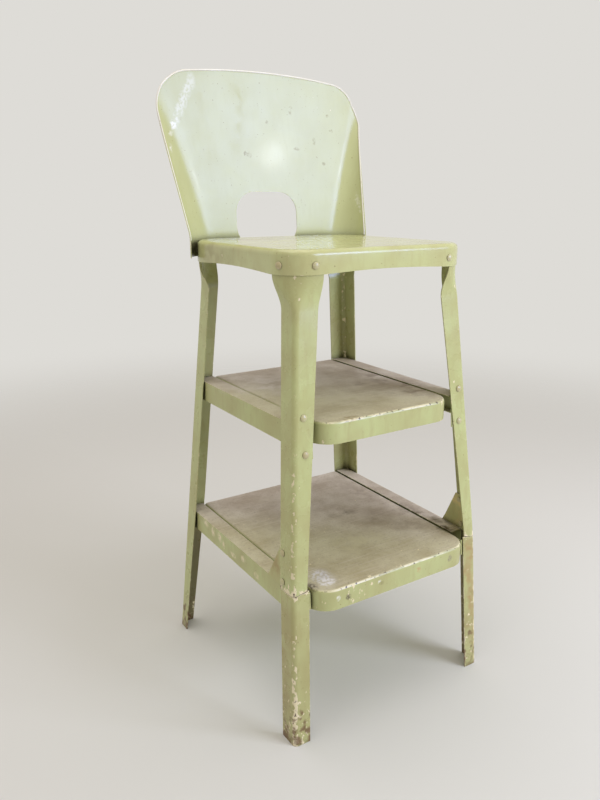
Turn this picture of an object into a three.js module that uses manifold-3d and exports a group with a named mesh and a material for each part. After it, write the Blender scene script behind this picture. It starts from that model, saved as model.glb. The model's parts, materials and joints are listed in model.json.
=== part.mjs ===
// A child's high chair of pressed sheet steel, with a bent sheet back and two pull-out steps.
// Millimetres. +X is the chair's left-right width, -Y its front and +Z up.
import * as THREE from 'three';
import { mergeVertices } from 'three/addons/utils/BufferGeometryUtils.js';
import Module from 'manifold-3d';

const wasm = await Module();
wasm.setup();

// ---------------------------------------------------------------- driving dimensions
const SHEET = 1.2;               // gauge of the seat, backrest, steps and rails
const LEG_SHEET = 1.6;           // gauge of the legs and brackets
const CLEARANCE = 0.3;           // between pieces that are fastened face to face

const SEAT_WIDTH = 282;
const SEAT_DEPTH = 279;
const SEAT_HEIGHT = 620;
const SEAT_SKIRT = 29;           // at the corners
const SEAT_ARCH = 3;             // how far the skirt's lower edge rises between the corners
const SEAT_FRONT_CORNER = 40;    // plan radii
const SEAT_BACK_CORNER = 51;
const SEAT_ROLL = 7;             // rolled top edge

const LEG_FOLD = 7;              // outer bend radius of the leg angle
const FRONT_FLANGE = { skirt: 34, knee: 21 };    // tapers down the upper legs
const LEG_SIDE_FLANGE = 30;      // upper and back legs, along the side
const BACK_LEG_FLANGE = 29;      // back legs, across the back
const LOWER_LEG_FLANGE = { across: 24, along: 29 };  // lower front legs
const KNEE_DIP = 4;              // the seam in a front leg, lower at the corner than across the front
const LEG_OPENING = 42;          // length over which a leg opens out below the seat skirt
const FRONT_LANDING = 7;         // flat of the flange beside the opened fold
const BACK_LANDING = 12;
const FRONT_INSET = { x: 14, y: 8 };         // leg corner inside the seat's outline, at the skirt
const BACK_INSET = { x: 16, y: 16.5 };
const FRONT_SPREAD = { x: 28.4, y: 39.3 };   // from the skirt down to the knee
const LOWER_SPREAD = { x: 7.3, y: 14.8 };    // from the knee down to the floor
const BACK_SPREAD = { x: 48.4, y: 29 };      // from the skirt down to the floor

const STEP_SKIRT = 28.5;         // depth of the steps and of their rails
const STEP_ROLL = 4;
const STEP_CORNER = 30;          // front corners of both steps, in plan
const STEP_BACK_CORNER = 5;
const STEP_SLIT = 2;             // between a step and the rail beside it
const MIDDLE_LEG_GAP = 3.8;      // between a step's side and the leg flange it passes
const LOWER_LEG_GAP = 6;
const MIDDLE_RAIL_GAP = 2.4;     // between a rail's wall and the front leg's side flange
const LOWER_RAIL_GAP = 1.2;
const RAIL_LIP = 12;             // inward lip that the runner slides on
const MIDDLE_STEP_HEIGHT = 417;
const MIDDLE_STEP_OVERHANG = 9.5;    // in front of the front legs
const MIDDLE_TRAVEL = 100;
const RUNNER_STOP = 2;           // left between runner and leg bracket at full travel
const LOWER_STEP_HEIGHT = 209;
const LOWER_STEP_OVERHANG = 16;
const STEP_PLATE_MARGIN = 2;     // the lower leg bracket, inside the step's skirt at top and bottom
const STEP_PLATE_DEPTH = 18;
const BRACKET_ABOVE = 16;        // the middle bracket, beyond its rail
const BRACKET_BELOW = 15;
const BRACKET_INSET = 4;         // from the leg flange's inner edge
const EAR_HEIGHT = 53;           // lower rail's ear, above the step
const EAR_REACH = 52;            // along its foot
const EAR_HEEL = { y: 8, z: 14 };    // cut off the back of its foot
const EAR_TIP_INSET = 6;         // inside the leg's side flange at its top

const BACK_RISE = 232.5;         // top of the backrest above the seat
const BACK_LEAN = 0.075;         // backwards, per unit of height
const BACK_BEND = 12;            // height over which the sheet turns from the skirt to its lean
const BACK_CROWN = 14.5;         // drop of its top edge from the middle to the sides
const BACK_CORNER = 57;          // rounded top corners, on the unbent sheet
const BACK_LAP = 24;             // how far the sheet laps down over the seat skirt
const CREASE_INSET = 36;         // where the flat panel ends, inside the seat's side
const CREASE_FLARE = 0.263;      // and outwards per unit of height
const WING_LEAN = 0.324;         // the wings' front edges, backwards per unit of height
const WING_FLARE = 0.121;        // and outwards
const WING_FADE = 8;             // softens the place where a wing runs out into the flat panel
const WING_STANDOFF = 9.4;       // the front edge from the seat skirt, sideways
const WING_REACH = 41;           // the front edge forward of the back skirt
const WING_SHOULDER = 2;         // the bend's outermost line inside the seat's side
const HOLE_WIDTH = 105;
const HOLE_RISE = 65;            // top of the hand hole above the seat
const HOLE_DROP = 10;            // its lower edge below the seat
const HOLE_CORNER = 24;

const RIVET_HEAD = 4.6;          // radii
const RIVET_SHANK = 2.3;
const RIVET_TAIL = 3.4;
const RIVET_DOME = 2.2;          // height of the head
const RIVET_TAIL_HEIGHT = 1.2;
const RIVET_PLAY = 0.6;          // between the innermost layer and the tail
const SKIRT_RIVET_DROP = 18;     // rivets in the seat skirt, below the seat
const CORNER_RIVET_ANGLES = [4, 68];     // round a front corner, degrees from the front
const BACK_RIVET_SPAN = 40;      // from the middle of the back skirt
const BACK_RIVET_INSET = 57;     // from the seat's side, through the back leg
const FLANGE_RIVET_INSET = 14;   // from the outer corner of a leg
const TAB_RIVET_DROP = 14;       // below the top of a rail
const BRACKET_RIVETS = { above: 9, below: 7.5 };     // from the top and the foot of the rail
const EAR_RIVET_INSET = 24;      // from the leg's front face
const EAR_RIVET_RISES = { ear: 8, ear_tip: 45 };     // above the step

const PLAN_STEPS = 8;            // facets in a quarter turn
const RIVET_FACETS = 12;

// ---------------------------------------------------------------- finishes
const enamel = (color, roughness) => () => (
  new THREE.MeshStandardMaterial({ color, roughness, metalness: 0 })
);
const greenEnamel = enamel('#bcc48c', 0.35);
const shelfEnamel = enamel('#a39c84', 0.5);
const backEnamel = enamel('#cfd8bd', 0.25);

// ---------------------------------------------------------------- solids
const { lerp, smoothstep, degToRad } = THREE.MathUtils;

function toSolid(geometry) {
  geometry.deleteAttribute('normal');
  geometry.deleteAttribute('uv');
  const merged = mergeVertices(geometry, 1e-3);
  const vertProperties = new Float32Array(merged.attributes.position.array);
  const triVerts = new Uint32Array(merged.index.array);
  return new wasm.Manifold(new wasm.Mesh({ numProp: 3, vertProperties, triVerts }));
}

function toGeometry(solid) {
  const { vertProperties, triVerts } = solid.getMesh();
  const geometry = new THREE.BufferGeometry();
  geometry.setAttribute('position', new THREE.BufferAttribute(new Float32Array(vertProperties), 3));
  geometry.setIndex(new THREE.BufferAttribute(new Uint32Array(triVerts), 1));
  geometry.computeVertexNormals();
  return geometry;
}

// The flat view of a ring, seen along the axis in which it is thinnest.
function flatten(ring) {
  const size = new THREE.Box3().setFromPoints(ring).getSize(new THREE.Vector3());
  const axes = ['x', 'y', 'z'].sort((a, b) => size[b] - size[a]).slice(0, 2);
  return ring.map((point) => new THREE.Vector2(point[axes[0]], point[axes[1]]));
}

function capTriangles(ring) {
  const flat = flatten(ring);
  const turn = Math.sign(THREE.ShapeUtils.area(flat));
  return THREE.ShapeUtils.triangulateShape(flat, []).map((triangle) => {
    const sameTurn = Math.sign(THREE.ShapeUtils.area(triangle.map((i) => flat[i]))) === turn;
    return sameTurn ? triangle : [triangle[0], triangle[2], triangle[1]];
  });
}

// The cap of a ring that runs out along one face of a sheet and back along the other.
function sheetEdgeTriangles(ring) {
  const triangles = [];
  for (let i = 0; i < ring.length / 2 - 1; i += 1) {
    const across = ring.length - 1 - i;
    triangles.push([i, i + 1, across - 1], [i, across - 1, across]);
  }
  return triangles;
}

// A closed solid skinned over rings of equally many points, with a cap on the first and last.
function loft(rings, cap = capTriangles) {
  const count = rings[0].length;
  const last = (rings.length - 1) * count;
  const triangles = [];
  for (let base = 0; base < last; base += count) {
    for (let i = 0; i < count; i += 1) {
      const next = (i + 1) % count;
      triangles.push([base + i, base + next, base + next + count]);
      triangles.push([base + i, base + next + count, base + i + count]);
    }
  }
  cap(rings[0]).forEach(([a, b, c]) => triangles.push([a, c, b]));
  cap(rings.at(-1)).forEach(([a, b, c]) => triangles.push([last + a, last + b, last + c]));
  const points = rings.flat();
  const volume = triangles.reduce(
    (sum, [a, b, c]) => sum + points[a].dot(new THREE.Vector3().crossVectors(points[b], points[c])),
    0,
  );
  const facing = volume > 0 ? triangles : triangles.map(([a, b, c]) => [a, c, b]);
  const geometry = new THREE.BufferGeometry().setFromPoints(points);
  geometry.setIndex(facing.flat());
  return toSolid(geometry);
}

// ---------------------------------------------------------------- pressed pans
// One rounded corner of a pan's plan, from its first edge to its second.
function cornerArc({ x, y, radius, from }, margin) {
  const turn = Math.max(radius - margin, CLEARANCE);
  const centre = { x: x - Math.sign(x) * (turn + margin), y: y - Math.sign(y) * (turn + margin) };
  const points = [];
  for (let i = 0; i <= PLAN_STEPS; i += 1) {
    const angle = degToRad(from + (90 * i) / PLAN_STEPS);
    points.push({ x: centre.x + turn * Math.cos(angle), y: centre.y + turn * Math.sin(angle), edge: 0 });
  }
  return points;
}

// A rounded rectangle, inset by a margin. `edge` is the share of a straight edge, 0 in the corners.
function panOutline({ halfWidth, front, back, frontCorner, backCorner }, margin, edgeSteps) {
  const corners = [
    { x: halfWidth, y: front, radius: frontCorner, from: -90 },
    { x: halfWidth, y: back, radius: backCorner, from: 0 },
    { x: -halfWidth, y: back, radius: backCorner, from: 90 },
    { x: -halfWidth, y: front, radius: frontCorner, from: 180 },
  ].map((corner) => cornerArc(corner, margin));
  return corners.flatMap((points, i) => {
    const start = points.at(-1);
    const end = corners[(i + 1) % corners.length][0];
    const between = [];
    for (let j = 1; j < edgeSteps; j += 1) {
      const edge = j / edgeSteps;
      between.push({ x: lerp(start.x, end.x, edge), y: lerp(start.y, end.y, edge), edge });
    }
    return [...points, ...between];
  });
}

// A sheet pan, open below: flat top, rolled edge, upright skirt whose lower edge may arch.
function pressedPan(plan, { top, skirt, roll, arch, edgeSteps }) {
  const ring = (margin, height, lift) => panOutline(plan, margin, edgeSteps).map(
    ({ x, y, edge }) => new THREE.Vector3(x, y, height + lift * Math.sin(Math.PI * edge)),
  );
  const rings = [];
  const rollSteps = 3;
  for (let i = 0; i <= rollSteps; i += 1) {
    const angle = (Math.PI / 2) * (i / rollSteps);
    rings.push(ring(roll * (1 - Math.sin(angle)), top - roll * (1 - Math.cos(angle)), 0));
  }
  rings.push(ring(0, top - skirt, arch));
  rings.push(ring(SHEET, top - skirt, arch));
  const inner = roll - SHEET;
  for (let i = rollSteps; i >= 0; i -= 1) {
    const angle = (Math.PI / 2) * (i / rollSteps);
    rings.push(ring(SHEET + inner * (1 - Math.sin(angle)), top - roll + inner * Math.cos(angle), 0));
  }
  return loft(rings);
}

// ---------------------------------------------------------------- legs
const skirtBottom = SEAT_HEIGHT - SEAT_SKIRT;
const knee = LOWER_STEP_HEIGHT + 1;
const legTop = SEAT_HEIGHT - SEAT_ROLL - 2;

// The outer corner of a leg at a height, in the +X +Y quarter.
function frontLegAt(z) {
  const upper = Math.min((skirtBottom - z) / (skirtBottom - knee), 1);
  const lower = Math.max((knee - z) / knee, 0);
  return {
    x: SEAT_WIDTH / 2 - FRONT_INSET.x + FRONT_SPREAD.x * upper + LOWER_SPREAD.x * lower,
    y: SEAT_DEPTH / 2 - FRONT_INSET.y + FRONT_SPREAD.y * upper + LOWER_SPREAD.y * lower,
  };
}

function backLegAt(z) {
  const share = (skirtBottom - z) / skirtBottom;
  return {
    x: SEAT_WIDTH / 2 - BACK_INSET.x + BACK_SPREAD.x * share,
    y: SEAT_DEPTH / 2 - BACK_INSET.y + BACK_SPREAD.y * share,
  };
}

function frontFlangeAt(z) {
  return lerp(FRONT_FLANGE.knee, FRONT_FLANGE.skirt, (z - knee) / (skirtBottom - knee));
}

// One bent angle in plan: out along one flange, round the fold, back along the inside.
function anglePlan(corner, fold, acrossEnd, alongEnd, sheet) {
  const side = (thickness) => {
    const radius = fold - thickness;
    const points = [{ x: acrossEnd, y: corner.y - thickness }];
    for (let i = PLAN_STEPS; i >= 0; i -= 1) {
      const angle = (Math.PI / 2) * (i / PLAN_STEPS);
      points.push({
        x: corner.x - fold + radius * Math.cos(angle),
        y: corner.y - fold + radius * Math.sin(angle),
      });
    }
    points.push({ x: corner.x - thickness, y: alongEnd });
    return points;
  };
  return [...side(0), ...side(sheet).reverse()];
}

// A leg: its angle section at each height, opening out under the seat to the skirt's own corner.
function leg({ legAt, across, along, seatCorner, landing, top, bottom, sx, sy, sheet = LEG_SHEET }) {
  const inside = SHEET + CLEARANCE;
  const inSkirt = { x: SEAT_WIDTH / 2 - inside, y: SEAT_DEPTH / 2 - inside, fold: seatCorner - inside };
  const opening = skirtBottom - LEG_OPENING;
  const levels = [bottom];
  if (top > opening) {
    for (let i = 0; i <= PLAN_STEPS; i += 1) {
      levels.push(opening + (LEG_OPENING * i) / PLAN_STEPS);
    }
  }
  levels.push(top);
  return loft(levels.map((z) => {
    const open = smoothstep(z, opening, skirtBottom);
    const straight = legAt(Math.min(z, skirtBottom));
    const corner = { x: lerp(straight.x, inSkirt.x, open), y: lerp(straight.y, inSkirt.y, open) };
    const fold = lerp(LEG_FOLD, inSkirt.fold, open);
    const acrossEnd = Math.min(straight.x - across(z), corner.x - fold - landing * open);
    const alongEnd = Math.min(straight.y - along, corner.y - fold - SHEET);
    const dip = [knee, knee - CLEARANCE].includes(z) ? KNEE_DIP : 0;
    return anglePlan(corner, fold, acrossEnd, alongEnd, sheet).map(({ x, y }) => {
      const nearCorner = (x - acrossEnd) / (corner.x - acrossEnd);
      return new THREE.Vector3(sx * x, sy * y, z - dip * nearCorner);
    });
  }));
}

const upperFrontLeg = (sx) => leg({
  legAt: frontLegAt,
  across: frontFlangeAt,
  along: LEG_SIDE_FLANGE,
  seatCorner: SEAT_FRONT_CORNER,
  landing: FRONT_LANDING,
  top: legTop,
  bottom: knee,
  sx,
  sy: -1,
});
const lowerFrontLeg = (sx) => leg({
  legAt: frontLegAt,
  across: () => LOWER_LEG_FLANGE.across,
  along: LOWER_LEG_FLANGE.along,
  seatCorner: SEAT_FRONT_CORNER,
  landing: FRONT_LANDING,
  top: knee - CLEARANCE,
  bottom: 0,
  sx,
  sy: -1,
});
const backLeg = (sx, sheet) => leg({
  legAt: backLegAt,
  across: () => BACK_LEG_FLANGE,
  along: LEG_SIDE_FLANGE,
  seatCorner: SEAT_BACK_CORNER,
  landing: BACK_LANDING,
  top: legTop,
  bottom: 0,
  sx,
  sy: 1,
  sheet,
});

// ---------------------------------------------------------------- steps and rails
// Faces inside a front or back leg, a number of millimetres in from its outer face.
const frontFace = (z, layers) => -(frontLegAt(z).y - layers);
const backFace = (z, layers) => backLegAt(z).y - layers;
const behindLeg = LEG_SHEET + CLEARANCE;
const behindBracket = 2 * behindLeg;

function levelAt(height, overhang, legGap, railGap, railFront) {
  const corner = frontLegAt(height);
  return {
    height,
    legX: corner.x,
    halfWidth: corner.x - frontFlangeAt(height) - legGap,
    wall: corner.x - LEG_SHEET - railGap,
    front: -corner.y - overhang,
    back: backFace(height, behindLeg),
    railFront,
  };
}

const middle = levelAt(
  MIDDLE_STEP_HEIGHT,
  MIDDLE_STEP_OVERHANG,
  MIDDLE_LEG_GAP,
  MIDDLE_RAIL_GAP,
  (z) => frontFace(z, behindBracket),
);
const lower = levelAt(
  LOWER_STEP_HEIGHT,
  LOWER_STEP_OVERHANG,
  LOWER_LEG_GAP,
  LOWER_RAIL_GAP,
  () => frontFace(knee, LOWER_LEG_FLANGE.along + CLEARANCE),
);

// An outline in width and height, skinned from one end (y by height) to the other.
function bar(outline, startAt, endAt) {
  return loft([startAt, endAt].map((y) => outline.map(([x, z]) => new THREE.Vector3(x, y(z), z))));
}

const rectangle = (x0, x1, z0, z1) => [[x0, z0], [x1, z0], [x1, z1], [x0, z1]];
const shifted = (at, distance) => (z) => at(z) + distance;

// A channel between the legs of one side, closed by a tab and rounded off to fit in the back leg.
function rail(level, sx) {
  const top = level.height;
  const bottom = top - STEP_SKIRT;
  const inner = level.halfWidth + STEP_SLIT;
  const section = [
    [inner, top],
    [level.wall, top],
    [level.wall, bottom],
    [level.wall - RAIL_LIP, bottom],
    [level.wall - RAIL_LIP, bottom + SHEET],
    [level.wall - SHEET, bottom + SHEET],
    [level.wall - SHEET, top - SHEET],
    [inner, top - SHEET],
  ].map(([x, z]) => [sx * x, z]);
  const backEnd = (z) => backFace(z, behindLeg);
  const channel = bar(section, level.railFront, backEnd);
  const tabInner = Math.max(inner, backLegAt(top).x - BACK_LEG_FLANGE + CLEARANCE);
  const tab = rectangle(sx * tabInner, sx * level.wall, bottom, top);
  const closed = channel.add(bar(tab, shifted(backEnd, -LEG_SHEET), backEnd));
  return closed.subtract(backLeg(sx, behindLeg));
}

// The plate behind a front leg's flange that the middle rail is welded to.
function railBracket(sx) {
  const low = MIDDLE_STEP_HEIGHT - STEP_SKIRT - BRACKET_BELOW;
  const high = MIDDLE_STEP_HEIGHT + BRACKET_ABOVE;
  const inner = frontLegAt(high).x - frontFlangeAt(high) + BRACKET_INSET;
  const outer = frontLegAt(high).x - LEG_FOLD;
  const plate = rectangle(sx * inner, sx * outer, low, high);
  return bar(plate, (z) => frontFace(z, behindLeg), (z) => frontFace(z, behindLeg + LEG_SHEET));
}

// The triangular ear on a lower rail, which lies against the inside of the leg's side flange.
function railEar(sx) {
  const root = LOWER_STEP_HEIGHT - SHEET;
  const top = LOWER_STEP_HEIGHT + EAR_HEIGHT;
  const front = frontFace(top, LEG_FOLD);
  const outline = [
    [front, root],
    [front + EAR_REACH, root],
    [front + EAR_REACH - EAR_HEEL.y, root + EAR_HEEL.z],
    [front + LEG_SIDE_FLANGE - EAR_TIP_INSET, top],
    [front, top],
  ];
  const plane = (layers) => outline.map(
    ([y, z]) => new THREE.Vector3(sx * (frontLegAt(z).x - layers), y, z),
  );
  return loft([plane(behindLeg), plane(behindLeg + LEG_SHEET)]);
}

// A step: a pan with a runner flange along each side, inside the rails.
function step(level, runnerFront) {
  const { halfWidth, front, back } = level;
  const pan = pressedPan(
    { halfWidth, front, back, frontCorner: STEP_CORNER, backCorner: STEP_BACK_CORNER },
    { top: level.height, skirt: STEP_SKIRT, roll: STEP_ROLL, arch: 0, edgeSteps: 1 },
  );
  const runnerLow = level.height - STEP_SKIRT + SHEET + CLEARANCE;
  const outer = level.wall - SHEET - CLEARANCE;
  const runnerBack = back - behindLeg;
  return [-1, 1].reduce((solid, sx) => {
    const outline = rectangle(sx * (halfWidth - SHEET), sx * outer, runnerLow, runnerLow + SHEET);
    return solid.add(bar(outline, () => runnerFront, () => runnerBack));
  }, pan);
}

// The angle that carries the lower step on its own leg: one wing on the step, one on the flange.
function stepLegBracket(sx) {
  const low = LOWER_STEP_HEIGHT - STEP_SKIRT + STEP_PLATE_MARGIN;
  const high = LOWER_STEP_HEIGHT - STEP_ROLL;
  const inner = lower.halfWidth + CLEARANCE;
  const outer = frontLegAt(high).x - LEG_FOLD;
  return loft([low, high].map((z) => {
    const face = frontFace(z, behindLeg);
    return [
      [inner, face],
      [outer, face],
      [outer, face + LEG_SHEET],
      [inner + LEG_SHEET, face + LEG_SHEET],
      [inner + LEG_SHEET, face + STEP_PLATE_DEPTH],
      [inner, face + STEP_PLATE_DEPTH],
    ].map(([x, y]) => new THREE.Vector3(sx * x, y, z));
  }));
}

// ---------------------------------------------------------------- backrest
// How far the sheet has risen along its lean: nothing below the seat, then eased in over the bend.
function leanRise(height) {
  const eased = Math.min(Math.max(height, 0), BACK_BEND);
  return (eased * eased) / (2 * BACK_BEND) + Math.max(height - BACK_BEND, 0);
}

// The plan of a wing's inner face on the +X side, from the flat panel (0) to its front edge (1).
function wingCurve(rise) {
  const panel = SEAT_DEPTH / 2 + CLEARANCE + BACK_LEAN * rise;
  const reach = panel - (SEAT_DEPTH / 2 - WING_REACH + WING_LEAN * rise);
  const forward = (reach + Math.hypot(reach, WING_FADE)) / 2;
  const side = SEAT_WIDTH / 2 + WING_FLARE * rise;
  return new THREE.QuadraticBezierCurve(
    new THREE.Vector2(SEAT_WIDTH / 2 - CREASE_INSET + CREASE_FLARE * rise, panel),
    new THREE.Vector2(side - WING_SHOULDER, panel),
    new THREE.Vector2(side + WING_STANDOFF, panel - forward),
  );
}

// The lines that run up one half of the sheet, from the middle to the wing's front edge. Each has
// its place on the panel or the wing, and its distance from the front edge along the sheet.
function sheetLines() {
  const wingSteps = 12;
  const panelShares = [0, 0.25, 0.5, 0.7, 0.8, 0.87, 0.92, 0.96];
  const shoulder = wingCurve(BACK_RISE - BACK_CORNER / 2);
  const wing = shoulder.getLength();
  const lines = panelShares.map((share) => (
    { panel: share, wing: 0, fromEdge: wing + shoulder.v0.x * (1 - share) }
  ));
  for (let i = 0; i <= wingSteps; i += 1) {
    const share = Math.sin((Math.PI / 2) * (i / wingSteps));
    lines.push({ panel: 1, wing: share, fromEdge: wing * (1 - share) });
  }
  return lines;
}

// A point of the sheet on the +X side, on its inner face or an offset behind it.
function sheetPoint(line, height, offset) {
  const curve = wingCurve(leanRise(height));
  const spot = curve.getPoint(line.wing);
  const heading = curve.getTangent(line.wing);
  const x = (spot.x - heading.y * offset) * line.panel;
  return new THREE.Vector3(x, spot.y + heading.x * offset, SEAT_HEIGHT + height);
}

function backrestSheet() {
  const bendRows = 4;
  const leanRows = 6;
  const right = sheetLines();
  const half = right[0].fromEdge;
  const topOf = ({ fromEdge }) => {
    const crown = BACK_CROWN * (1 - fromEdge / half) ** 2;
    const inCorner = Math.max(BACK_CORNER - fromEdge, 0);
    return BACK_RISE - crown - BACK_CORNER + Math.sqrt(BACK_CORNER ** 2 - inCorner ** 2);
  };
  const rows = [() => -BACK_LAP];
  for (let i = 0; i < bendRows; i += 1) {
    rows.push(() => (BACK_BEND * i) / bendRows);
  }
  for (let i = 0; i <= leanRows; i += 1) {
    rows.push((line) => lerp(BACK_BEND, topOf(line), i / leanRows));
  }
  const mirror = new THREE.Vector3(-1, 1, 1);
  const face = (heightOf, offset) => {
    const points = right.map((line) => sheetPoint(line, heightOf(line), offset));
    const left = points.slice(1).reverse().map((point) => point.clone().multiply(mirror));
    return [...left, ...points];
  };
  return loft(
    rows.map((heightOf) => [...face(heightOf, 0), ...face(heightOf, SHEET).reverse()]),
    sheetEdgeTriangles,
  );
}

// The hand hole, a rounded opening whose lower edge lies just under the seat line.
function handHole() {
  const half = HOLE_WIDTH / 2 - HOLE_CORNER;
  const low = SEAT_HEIGHT - HOLE_DROP + HOLE_CORNER;
  const high = SEAT_HEIGHT + HOLE_RISE - HOLE_CORNER;
  const outline = new THREE.Shape();
  outline.absarc(half, high, HOLE_CORNER, 0, Math.PI / 2);
  outline.absarc(-half, high, HOLE_CORNER, Math.PI / 2, Math.PI);
  outline.absarc(-half, low, HOLE_CORNER, Math.PI, 1.5 * Math.PI);
  outline.absarc(half, low, HOLE_CORNER, 1.5 * Math.PI, 2 * Math.PI);
  const points = outline.getPoints(2 * PLAN_STEPS);
  const at = (y) => points.map((point) => new THREE.Vector3(point.x, y, point.y));
  return loft([at(0), at(SEAT_DEPTH)]);
}

// ---------------------------------------------------------------- rivets
// A turned solid on an outer face, its axis along the face's outward normal.
function turned(profile, at, normal) {
  const points = profile.map(([radius, height]) => new THREE.Vector2(radius, height));
  const turn = new THREE.Quaternion().setFromUnitVectors(new THREE.Vector3(0, 1, 0), normal);
  const geometry = new THREE.LatheGeometry(points, RIVET_FACETS);
  geometry.applyQuaternion(turn);
  geometry.translate(at.x, at.y, at.z);
  return toSolid(geometry);
}

// A domed head outside, the shank through the layers, a flat tail inside.
function rivet(at, normal, depth) {
  const headSteps = 4;
  const tail = -depth - RIVET_PLAY;
  const profile = [
    [0, tail - RIVET_TAIL_HEIGHT],
    [RIVET_TAIL, tail - RIVET_TAIL_HEIGHT],
    [RIVET_TAIL, tail],
    [RIVET_SHANK, tail],
    [RIVET_SHANK, CLEARANCE],
  ];
  for (let i = 0; i <= headSteps; i += 1) {
    const angle = (Math.PI / 2) * (i / headSteps);
    profile.push([RIVET_HEAD * Math.cos(angle), CLEARANCE + RIVET_DOME * Math.sin(angle)]);
  }
  return turned(profile, at, normal);
}

function rivetHole(at, normal, depth) {
  const radius = RIVET_SHANK + CLEARANCE;
  const ends = [-depth - RIVET_PLAY, RIVET_PLAY];
  return turned([[0, ends[0]], [radius, ends[0]], [radius, ends[1]], [0, ends[1]]], at, normal);
}

// ---------------------------------------------------------------- assembly
const solids = {
  seat_pan: pressedPan(
    {
      halfWidth: SEAT_WIDTH / 2,
      front: -SEAT_DEPTH / 2,
      back: SEAT_DEPTH / 2,
      frontCorner: SEAT_FRONT_CORNER,
      backCorner: SEAT_BACK_CORNER,
    },
    { top: SEAT_HEIGHT, skirt: SEAT_SKIRT, roll: SEAT_ROLL, arch: SEAT_ARCH, edgeSteps: 8 },
  ),
  backrest: backrestSheet().subtract(handHole()),
  middle_step: step(middle, middle.railFront(MIDDLE_STEP_HEIGHT) + MIDDLE_TRAVEL + RUNNER_STOP),
  lower_step: step(lower, lower.railFront() + CLEARANCE),
};
const finishes = { backrest: backEnamel, middle_step: shelfEnamel, lower_step: shelfEnamel };

// Drills the named pieces and puts the rivet in; the depth is from the outer face to the innermost.
function fasten(name, pieces, at, direction, depth) {
  const normal = direction.clone().normalize();
  const hole = rivetHole(at, normal, depth);
  for (const piece of pieces) {
    solids[piece] = solids[piece].subtract(hole);
  }
  solids[name] = rivet(at, normal, depth);
}

const frontSlope = FRONT_SPREAD.y / (skirtBottom - knee);
const sideSlope = FRONT_SPREAD.x / (skirtBottom - knee);
const backSlope = BACK_SPREAD.y / skirtBottom;
const skirtRivetHeight = SEAT_HEIGHT - SKIRT_RIVET_DROP;
const legInSkirt = SHEET + CLEARANCE + LEG_SHEET;
const plateOnLeg = LEG_SHEET + CLEARANCE + LEG_SHEET;

for (const [side, sx] of [['left', -1], ['right', 1]]) {
  const frontUpperLeg = `front_${side}_upper_leg`;
  solids[frontUpperLeg] = upperFrontLeg(sx);
  solids[`front_${side}_lower_leg`] = lowerFrontLeg(sx);
  solids[`back_${side}_leg`] = backLeg(sx);
  solids[`middle_${side}_rail`] = rail(middle, sx);
  solids[`middle_${side}_bracket`] = railBracket(sx);
  solids[`lower_${side}_rail`] = rail(lower, sx).add(railEar(sx));
  solids[`lower_${side}_leg_bracket`] = stepLegBracket(sx);

  CORNER_RIVET_ANGLES.forEach((degrees, i) => {
    const angle = degToRad(degrees);
    const normal = new THREE.Vector3(sx * Math.sin(angle), -Math.cos(angle), 0);
    const at = new THREE.Vector3(
      sx * (SEAT_WIDTH / 2 - SEAT_FRONT_CORNER) + SEAT_FRONT_CORNER * normal.x,
      SEAT_FRONT_CORNER - SEAT_DEPTH / 2 + SEAT_FRONT_CORNER * normal.y,
      skirtRivetHeight,
    );
    fasten(`seat_${side}_rivet_${i + 1}`, ['seat_pan', frontUpperLeg], at, normal, legInSkirt);
  });

  const backFaceOut = new THREE.Vector3(0, 1, 0);
  const lapped = SHEET + CLEARANCE;
  [BACK_RIVET_SPAN, SEAT_WIDTH / 2 - BACK_RIVET_INSET].forEach((span, i) => {
    const at = new THREE.Vector3(sx * span, SEAT_DEPTH / 2 + lapped, skirtRivetHeight);
    const throughLeg = span > SEAT_WIDTH / 2 - SEAT_BACK_CORNER - BACK_LANDING;
    const pieces = throughLeg ? ['backrest', 'seat_pan', `back_${side}_leg`] : ['backrest', 'seat_pan'];
    const depth = lapped + (throughLeg ? legInSkirt : SHEET);
    fasten(`backrest_${side}_rivet_${i + 1}`, pieces, at, backFaceOut, depth);
  });

  const frontOut = new THREE.Vector3(0, -1, frontSlope);
  const bracketX = sx * (middle.legX - FLANGE_RIVET_INSET);
  [BRACKET_RIVETS.above, -STEP_SKIRT - BRACKET_RIVETS.below].forEach((offset, i) => {
    const z = MIDDLE_STEP_HEIGHT + offset;
    const at = new THREE.Vector3(bracketX, frontFace(z, 0), z);
    const pieces = [frontUpperLeg, `middle_${side}_bracket`];
    fasten(`middle_${side}_bracket_rivet_${i + 1}`, pieces, at, frontOut, plateOnLeg);
  });

  const backOut = new THREE.Vector3(0, 1, backSlope);
  for (const [level, height] of [['middle', MIDDLE_STEP_HEIGHT], ['lower', LOWER_STEP_HEIGHT]]) {
    const z = height - TAB_RIVET_DROP;
    const at = new THREE.Vector3(sx * (backLegAt(z).x - FLANGE_RIVET_INSET), backFace(z, 0), z);
    const pieces = [`back_${side}_leg`, `${level}_${side}_rail`];
    fasten(`${level}_${side}_rail_rivet`, pieces, at, backOut, plateOnLeg);
  }

  const sideOut = new THREE.Vector3(sx, 0, sideSlope);
  for (const [place, rise] of Object.entries(EAR_RIVET_RISES)) {
    const z = LOWER_STEP_HEIGHT + rise;
    const at = new THREE.Vector3(sx * frontLegAt(z).x, frontFace(z, EAR_RIVET_INSET), z);
    const pieces = [frontUpperLeg, `lower_${side}_rail`];
    fasten(`lower_${side}_${place}_rivet`, pieces, at, sideOut, plateOnLeg);
  }
}

const part = new THREE.Group();
for (const [name, solid] of Object.entries(solids)) {
  const material = (finishes[name] ?? greenEnamel)();
  const mesh = new THREE.Mesh(toGeometry(solid), material);
  mesh.name = name;
  part.add(mesh);
}

// The origin is on the floor, under the middle of the whole chair.
const box = new THREE.Box3().setFromObject(part);
part.position.set(-(box.min.x + box.max.x) / 2, -(box.min.y + box.max.y) / 2, 0);

export default part;
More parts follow.
